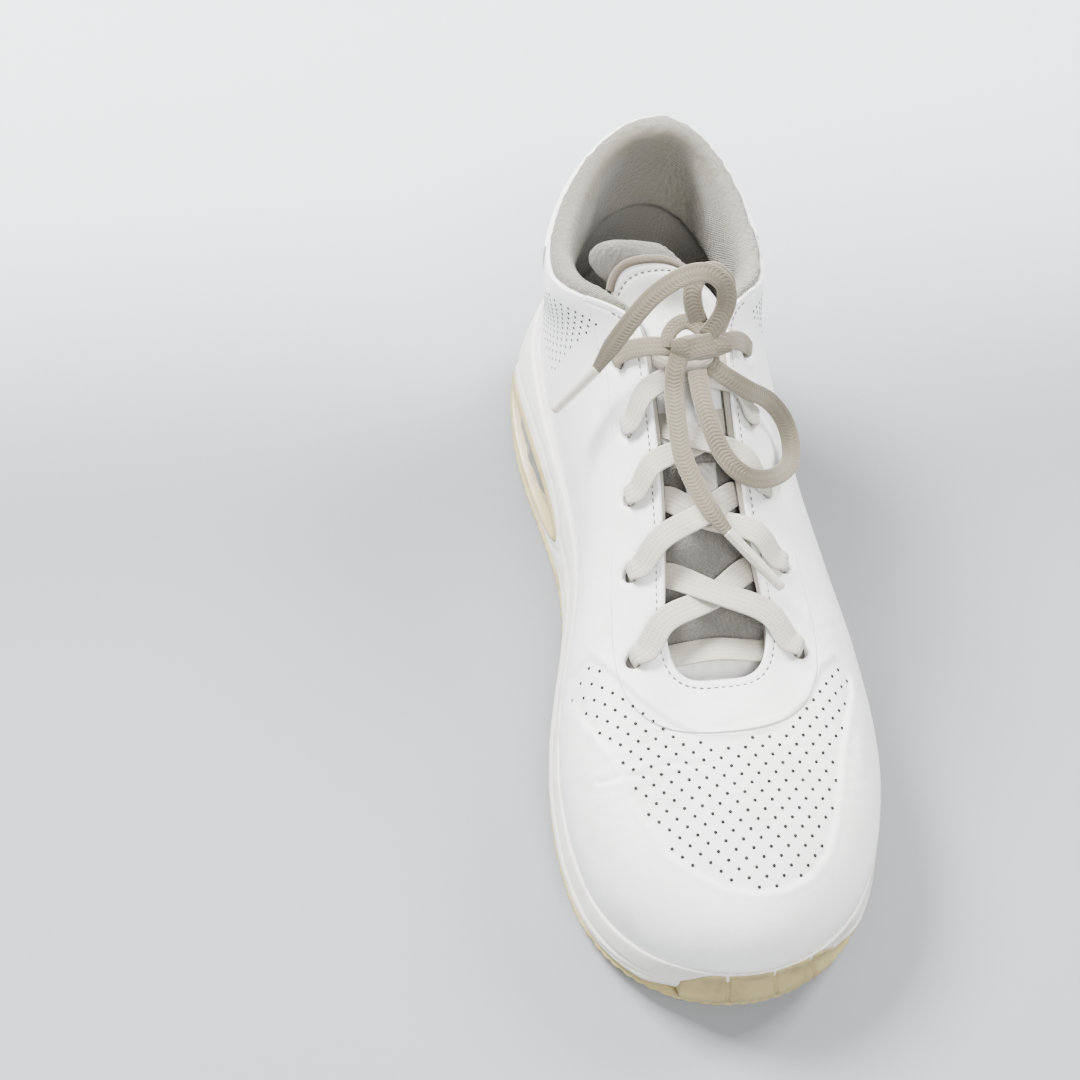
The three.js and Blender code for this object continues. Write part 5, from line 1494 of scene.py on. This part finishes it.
def bow():
    """Two loops and two tails of the flat braid, each tail ending in a clear tip."""
    def free_lace(name, points, node, tip=None):
        points = np.array(points, float)
        count = len(points)
        faces = np.tile(BOW_FACE, (count, 1))
        halves = np.full(count, 3.05)
        if tip is not None:
            halves[-1] = 1.6
        obj, centre = ribbon(name, points, faces, halves, 1.3, 110, sides=14, power=0.3)
        finish_piece(obj, "Bow lace", "rear_shoe", node)
        if tip is not None:
            last, end = points[-1], np.array(tip, float)
            along = unit(end - last)
            line = [last - along * 0.8, last + along * 0.6, (last + end) / 2, end + along * 0.5]
            halves = [1.75, 1.8, 1.75, 1.6]
            aglet, _ = ribbon(f"{name} tip", line, [BOW_FACE] * 4, halves, 3.3, 30, sides=14, power=1.0)
            finish_piece(aglet, "Clear tip", "rear_shoe", node.replace("bow_tail", "aglet"))
    free_lace("Upper bow loop", LOOP_UPPER, "bow_loop_upper")
    free_lace("Lower bow loop", LOOP_LOWER, "bow_loop_lower")
    free_lace("Medial lace tail", TAIL_MEDIAL, "bow_tail_medial", (-41.3, 38.2, 83))
    free_lace("Front lace tail", TAIL_FRONT, "bow_tail_front", (20.5, -31.5, 75))


def hidden_parts():
    """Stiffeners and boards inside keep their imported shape."""
    for name in ("toe_puff", "heel_counter", "strobel_board_rear", "strobel_board_forefoot"):
        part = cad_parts[name]
        part.data.materials.clear()
        part.data.materials.append(finish_named("Stiff board"))


LIGHTS = [  # name, place in metres, watts, size in metres
    ("Large soft light", (-0.8, 0.75, 1.25), 122.0, 0.6),
    ("Right soft light", (0.95, 0.6, 1.15), 46.0, 0.6),
    ("Front fill", (0.1, -1.15, 1.4), 40.0, 0.8),
]
SKY_COLOR, SKY_STRENGTH = (0.9, 0.95, 1.0, 1), 0.42
CAMERA_PLACE = [-145.27, -395.92, 638.9]  # shoe millimetres
CAMERA_TURN = (-13.4589, 54.6734, 6.889)  # azimuth, elevation and roll in degrees
SENSOR_WIDTH, LENS_LENGTH = 36.0, 73.33  # mm
# Floor grey from front to back: a band of painted shade across the floor under the rear of the shoe, and
# painted light, much brighter, behind it
FLOOR_LIGHT_AND_SHADE = [(0.25, 0.30), (0.4, 0.265), (0.52, 0.22), (0.66, 0.38), (0.82, 0.58)]  # front to back


def studio():
    """Pale floor with painted light and shade on it, soft overhead light and the camera."""
    scene = bpy.context.scene
    mesh = bpy.data.meshes.new("Studio floor")
    mesh.from_pydata([(-3, -3, 0), (3, -3, 0), (3, 3, 0), (-3, 3, 0)], [], [(0, 1, 2, 3)])
    floor = bpy.data.objects.new("Studio floor", mesh)
    scene.collection.objects.link(floor)
    material, tree, shader, coords = new_finish(
        "Studio paper", (0.69, 0.71, 0.735), 0.8, Specular_IOR_Level=0.1)
    tone = add_node(tree, "ShaderNodeTexNoise", {
        "Vector": coords.outputs["Object"], "Scale": 1.2, "Detail": 1.0})
    # Painted light and shade: the floor's grey follows its length, darker in a band under the rear of the
    # shoe and brighter further back
    place = add_node(tree, "ShaderNodeSeparateXYZ", {0: coords.outputs["Object"]})
    back = add_node(tree, "ShaderNodeMapRange", {
        "Value": place.outputs["Y"], "From Min": -0.15, "From Max": 0.30})
    sweep = add_node(tree, "ShaderNodeValToRGB")
    tree.links.new(back.outputs["Result"], sweep.inputs["Fac"])
    ramp = sweep.color_ramp
    ramp.interpolation = "B_SPLINE"
    for spot, value in FLOOR_LIGHT_AND_SHADE:
        value *= scene.shoe.floor_tone
        ramp.elements.new(spot).color = (value * 0.965, value, value * 1.03, 1)
    ramp.elements[0].color, ramp.elements[-1].color = (0.29, 0.30, 0.31, 1), (0.60, 0.62, 0.64, 1)
    mottled = maths(tree, "MULTIPLY", tone.outputs["Fac"], 0.15)
    connect(tree, mix_color(tree, mottled, sweep.outputs["Color"], (0.29, 0.30, 0.31)), shader, "Base Color")
    mesh.materials.append(material)
    world = bpy.data.worlds.new("Studio light")
    world.use_nodes = True
    world.node_tree.nodes["Background"].inputs["Color"].default_value = SKY_COLOR
    world.node_tree.nodes["Background"].inputs["Strength"].default_value = SKY_STRENGTH
    scene.world = world
    for name, place, energy, size in LIGHTS:
        lamp = bpy.data.lights.new(name, "AREA")
        lamp.energy, lamp.size = energy, size
        light = bpy.data.objects.new(name, lamp)
        light.location = place
        light.rotation_euler = (-Vector(place)).to_track_quat("-Z", "Y").to_euler()
        scene.collection.objects.link(light)
    azimuth, elevation, roll = (math.radians(v) for v in CAMERA_TURN)
    level = math.cos(elevation)
    back = Vector((math.sin(azimuth) * level, -math.cos(azimuth) * level, math.sin(elevation)))
    right = Vector((0, 0, 1)).cross(back).normalized()
    up = back.cross(right)
    turned = right * math.cos(roll) + up * math.sin(roll)
    upright = back.cross(turned)
    lens_data = bpy.data.cameras.new("Camera")
    lens_data.sensor_width, lens_data.lens = SENSOR_WIDTH, LENS_LENGTH
    camera = bpy.data.objects.new("Camera", lens_data)
    pose = Matrix((turned, upright, back)).transposed().to_4x4()
    pose.translation = Vector(to_world(CAMERA_PLACE))
    camera.matrix_world = pose
    scene.collection.objects.link(camera)
    scene.camera = camera


# ---------------------------------------------------------------- add-on
def color_choice(name, finish):
    """Setting that starts at the colour of a finish."""
    return FloatVectorProperty(
        name=name, description=f"Colour of the finish called {finish}",
        default=FINISHES[finish][1], min=0.0, max=1.0, subtype="COLOR")


class ShoeSettings(PropertyGroup):
    """Choices that can be changed before building."""
    leather_color: color_choice("Leather", "White leather")
    foam_color: color_choice("Midsole foam", "Midsole foam")
    rubber_color: color_choice("Rubber", "Cream rubber")
    lace_color: color_choice("Lower laces", "Lower lace")
    bow_color: color_choice("Bow", "Bow lace")
    floor_tone: FloatProperty(
        name="Floor tone", description="Brightness of the studio floor",
        default=1.0, min=0.5, max=1.2, subtype="FACTOR")


class SHOE_OT_uppers(Operator):
    """Toe and vamp, both quarters and the heel panel."""
    bl_idname = "shoe.uppers"
    bl_label = "Upper leather"

    def execute(self, context):
        uppers()
        return {"FINISHED"}


class SHOE_OT_eyestays(Operator):
    """Eyestay leather with its ten punched eyelets, and the cream facing below it."""
    bl_idname = "shoe.eyestays"
    bl_label = "Eyestay"

    def execute(self, context):
        eyestays()
        return {"FINISHED"}


class SHOE_OT_linings(Operator):
    """Cream fabric inside the toe and quarters."""
    bl_idname = "shoe.linings"
    bl_label = "Linings"

    def execute(self, context):
        linings()
        return {"FINISHED"}


class SHOE_OT_collar(Operator):
    """Padded knit collar, one closed roll from throat to throat round the heel."""
    bl_idname = "shoe.collar"
    bl_label = "Collar"

    def execute(self, context):
        collar()
        return {"FINISHED"}


class SHOE_OT_tongue(Operator):
    """Padded tongue, its leather panels, binding and woven label."""
    bl_idname = "shoe.tongue"
    bl_label = "Tongue"

    def execute(self, context):
        tongue()
        return {"FINISHED"}


class SHOE_OT_midsole(Operator):
    """Foam midsole with its pressed grooves and the two hollows of the air window."""
    bl_idname = "shoe.midsole"
    bl_label = "Midsole"

    def execute(self, context):
        midsole()
        return {"FINISHED"}


class SHOE_OT_air_window(Operator):
    """Clear rims and the gas-filled bag that shows through them."""
    bl_idname = "shoe.air_window"
    bl_label = "Air window"

    def execute(self, context):
        air_window()
        return {"FINISHED"}


class SHOE_OT_outsole(Operator):
    """Rubber outsole with a herringbone tread."""
    bl_idname = "shoe.outsole"
    bl_label = "Outsole"

    def execute(self, context):
        outsole()
        return {"FINISHED"}


class SHOE_OT_toe_bumper(Operator):
    """Rubber that wraps up over the toe, cut into blocks by curved grooves."""
    bl_idname = "shoe.toe_bumper"
    bl_label = "Toe bumper"

    def execute(self, context):
        toe_bumper()
        return {"FINISHED"}


class SHOE_OT_footbed(Operator):
    """Sockliner, slightly dished, with a rolled edge."""
    bl_idname = "shoe.footbed"
    bl_label = "Footbed"

    def execute(self, context):
        footbed()
        return {"FINISHED"}


class SHOE_OT_perforations(Operator):
    """Punched dots over the vamp and on both heel sides, each a near-black disc on the leather: painted shade
    for the inside of the hole.
    """
    bl_idname = "shoe.perforations"
    bl_label = "Perforations"

    def execute(self, context):
        perforations()
        return {"FINISHED"}


class SHOE_OT_stitching(Operator):
    """Rows of thread along the throat, the heel panel and the tongue."""
    bl_idname = "shoe.stitching"
    bl_label = "Stitching"

    def execute(self, context):
        stitching()
        return {"FINISHED"}


class SHOE_OT_lower_laces(Operator):
    """Eight crossings and the bar under the bottom eyelets."""
    bl_idname = "shoe.lower_laces"
    bl_label = "Lower laces"

    def execute(self, context):
        lower_laces()
        return {"FINISHED"}


class SHOE_OT_knot(Operator):
    """Core of the knot with the lace wrapped over it and the strap that holds the bow."""
    bl_idname = "shoe.knot"
    bl_label = "Knot"

    def execute(self, context):
        knot()
        return {"FINISHED"}


class SHOE_OT_bow(Operator):
    """Two loops and two tails of the flat braid, each tail ending in a clear tip."""
    bl_idname = "shoe.bow"
    bl_label = "Bow"

    def execute(self, context):
        bow()
        return {"FINISHED"}


class SHOE_OT_hidden_parts(Operator):
    """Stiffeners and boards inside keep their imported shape."""
    bl_idname = "shoe.hidden_parts"
    bl_label = "Hidden parts"

    def execute(self, context):
        hidden_parts()
        return {"FINISHED"}


class SHOE_OT_studio(Operator):
    """Pale floor with painted light and shade on it, soft overhead light and the camera."""
    bl_idname = "shoe.studio"
    bl_label = "Studio"

    def execute(self, context):
        studio()
        return {"FINISHED"}


STEPS = [  # in the order of building
    SHOE_OT_uppers, SHOE_OT_eyestays, SHOE_OT_linings, SHOE_OT_collar,
    SHOE_OT_tongue, SHOE_OT_midsole, SHOE_OT_air_window, SHOE_OT_outsole,
    SHOE_OT_toe_bumper, SHOE_OT_footbed, SHOE_OT_perforations, SHOE_OT_stitching,
    SHOE_OT_lower_laces, SHOE_OT_knot, SHOE_OT_bow, SHOE_OT_hidden_parts,
    SHOE_OT_studio,
]


class SHOE_PT_panel(Panel):
    """Buttons for each group of pieces."""
    bl_label = "Court shoe"
    bl_space_type = "VIEW_3D"
    bl_region_type = "UI"
    bl_category = "Shoe"

    def draw(self, context):
        for choice in ShoeSettings.__annotations__:
            self.layout.prop(context.scene.shoe, choice)
        for step in STEPS:
            self.layout.operator(step.bl_idname)


CLASSES = [ShoeSettings, *STEPS, SHOE_PT_panel]


def register():
    """Adds the settings, the operators and the panel."""
    for item in CLASSES:
        bpy.utils.register_class(item)
    bpy.types.Scene.shoe = PointerProperty(type=ShoeSettings)


def unregister():
    """Takes them away again."""
    del bpy.types.Scene.shoe
    for item in reversed(CLASSES):
        bpy.utils.unregister_class(item)


def main():
    """Builds the whole shoe."""
    register()
    for step in STEPS:
        getattr(bpy.ops.shoe, step.bl_idname.split(".")[1])()


if __name__ == "__main__":
    main()
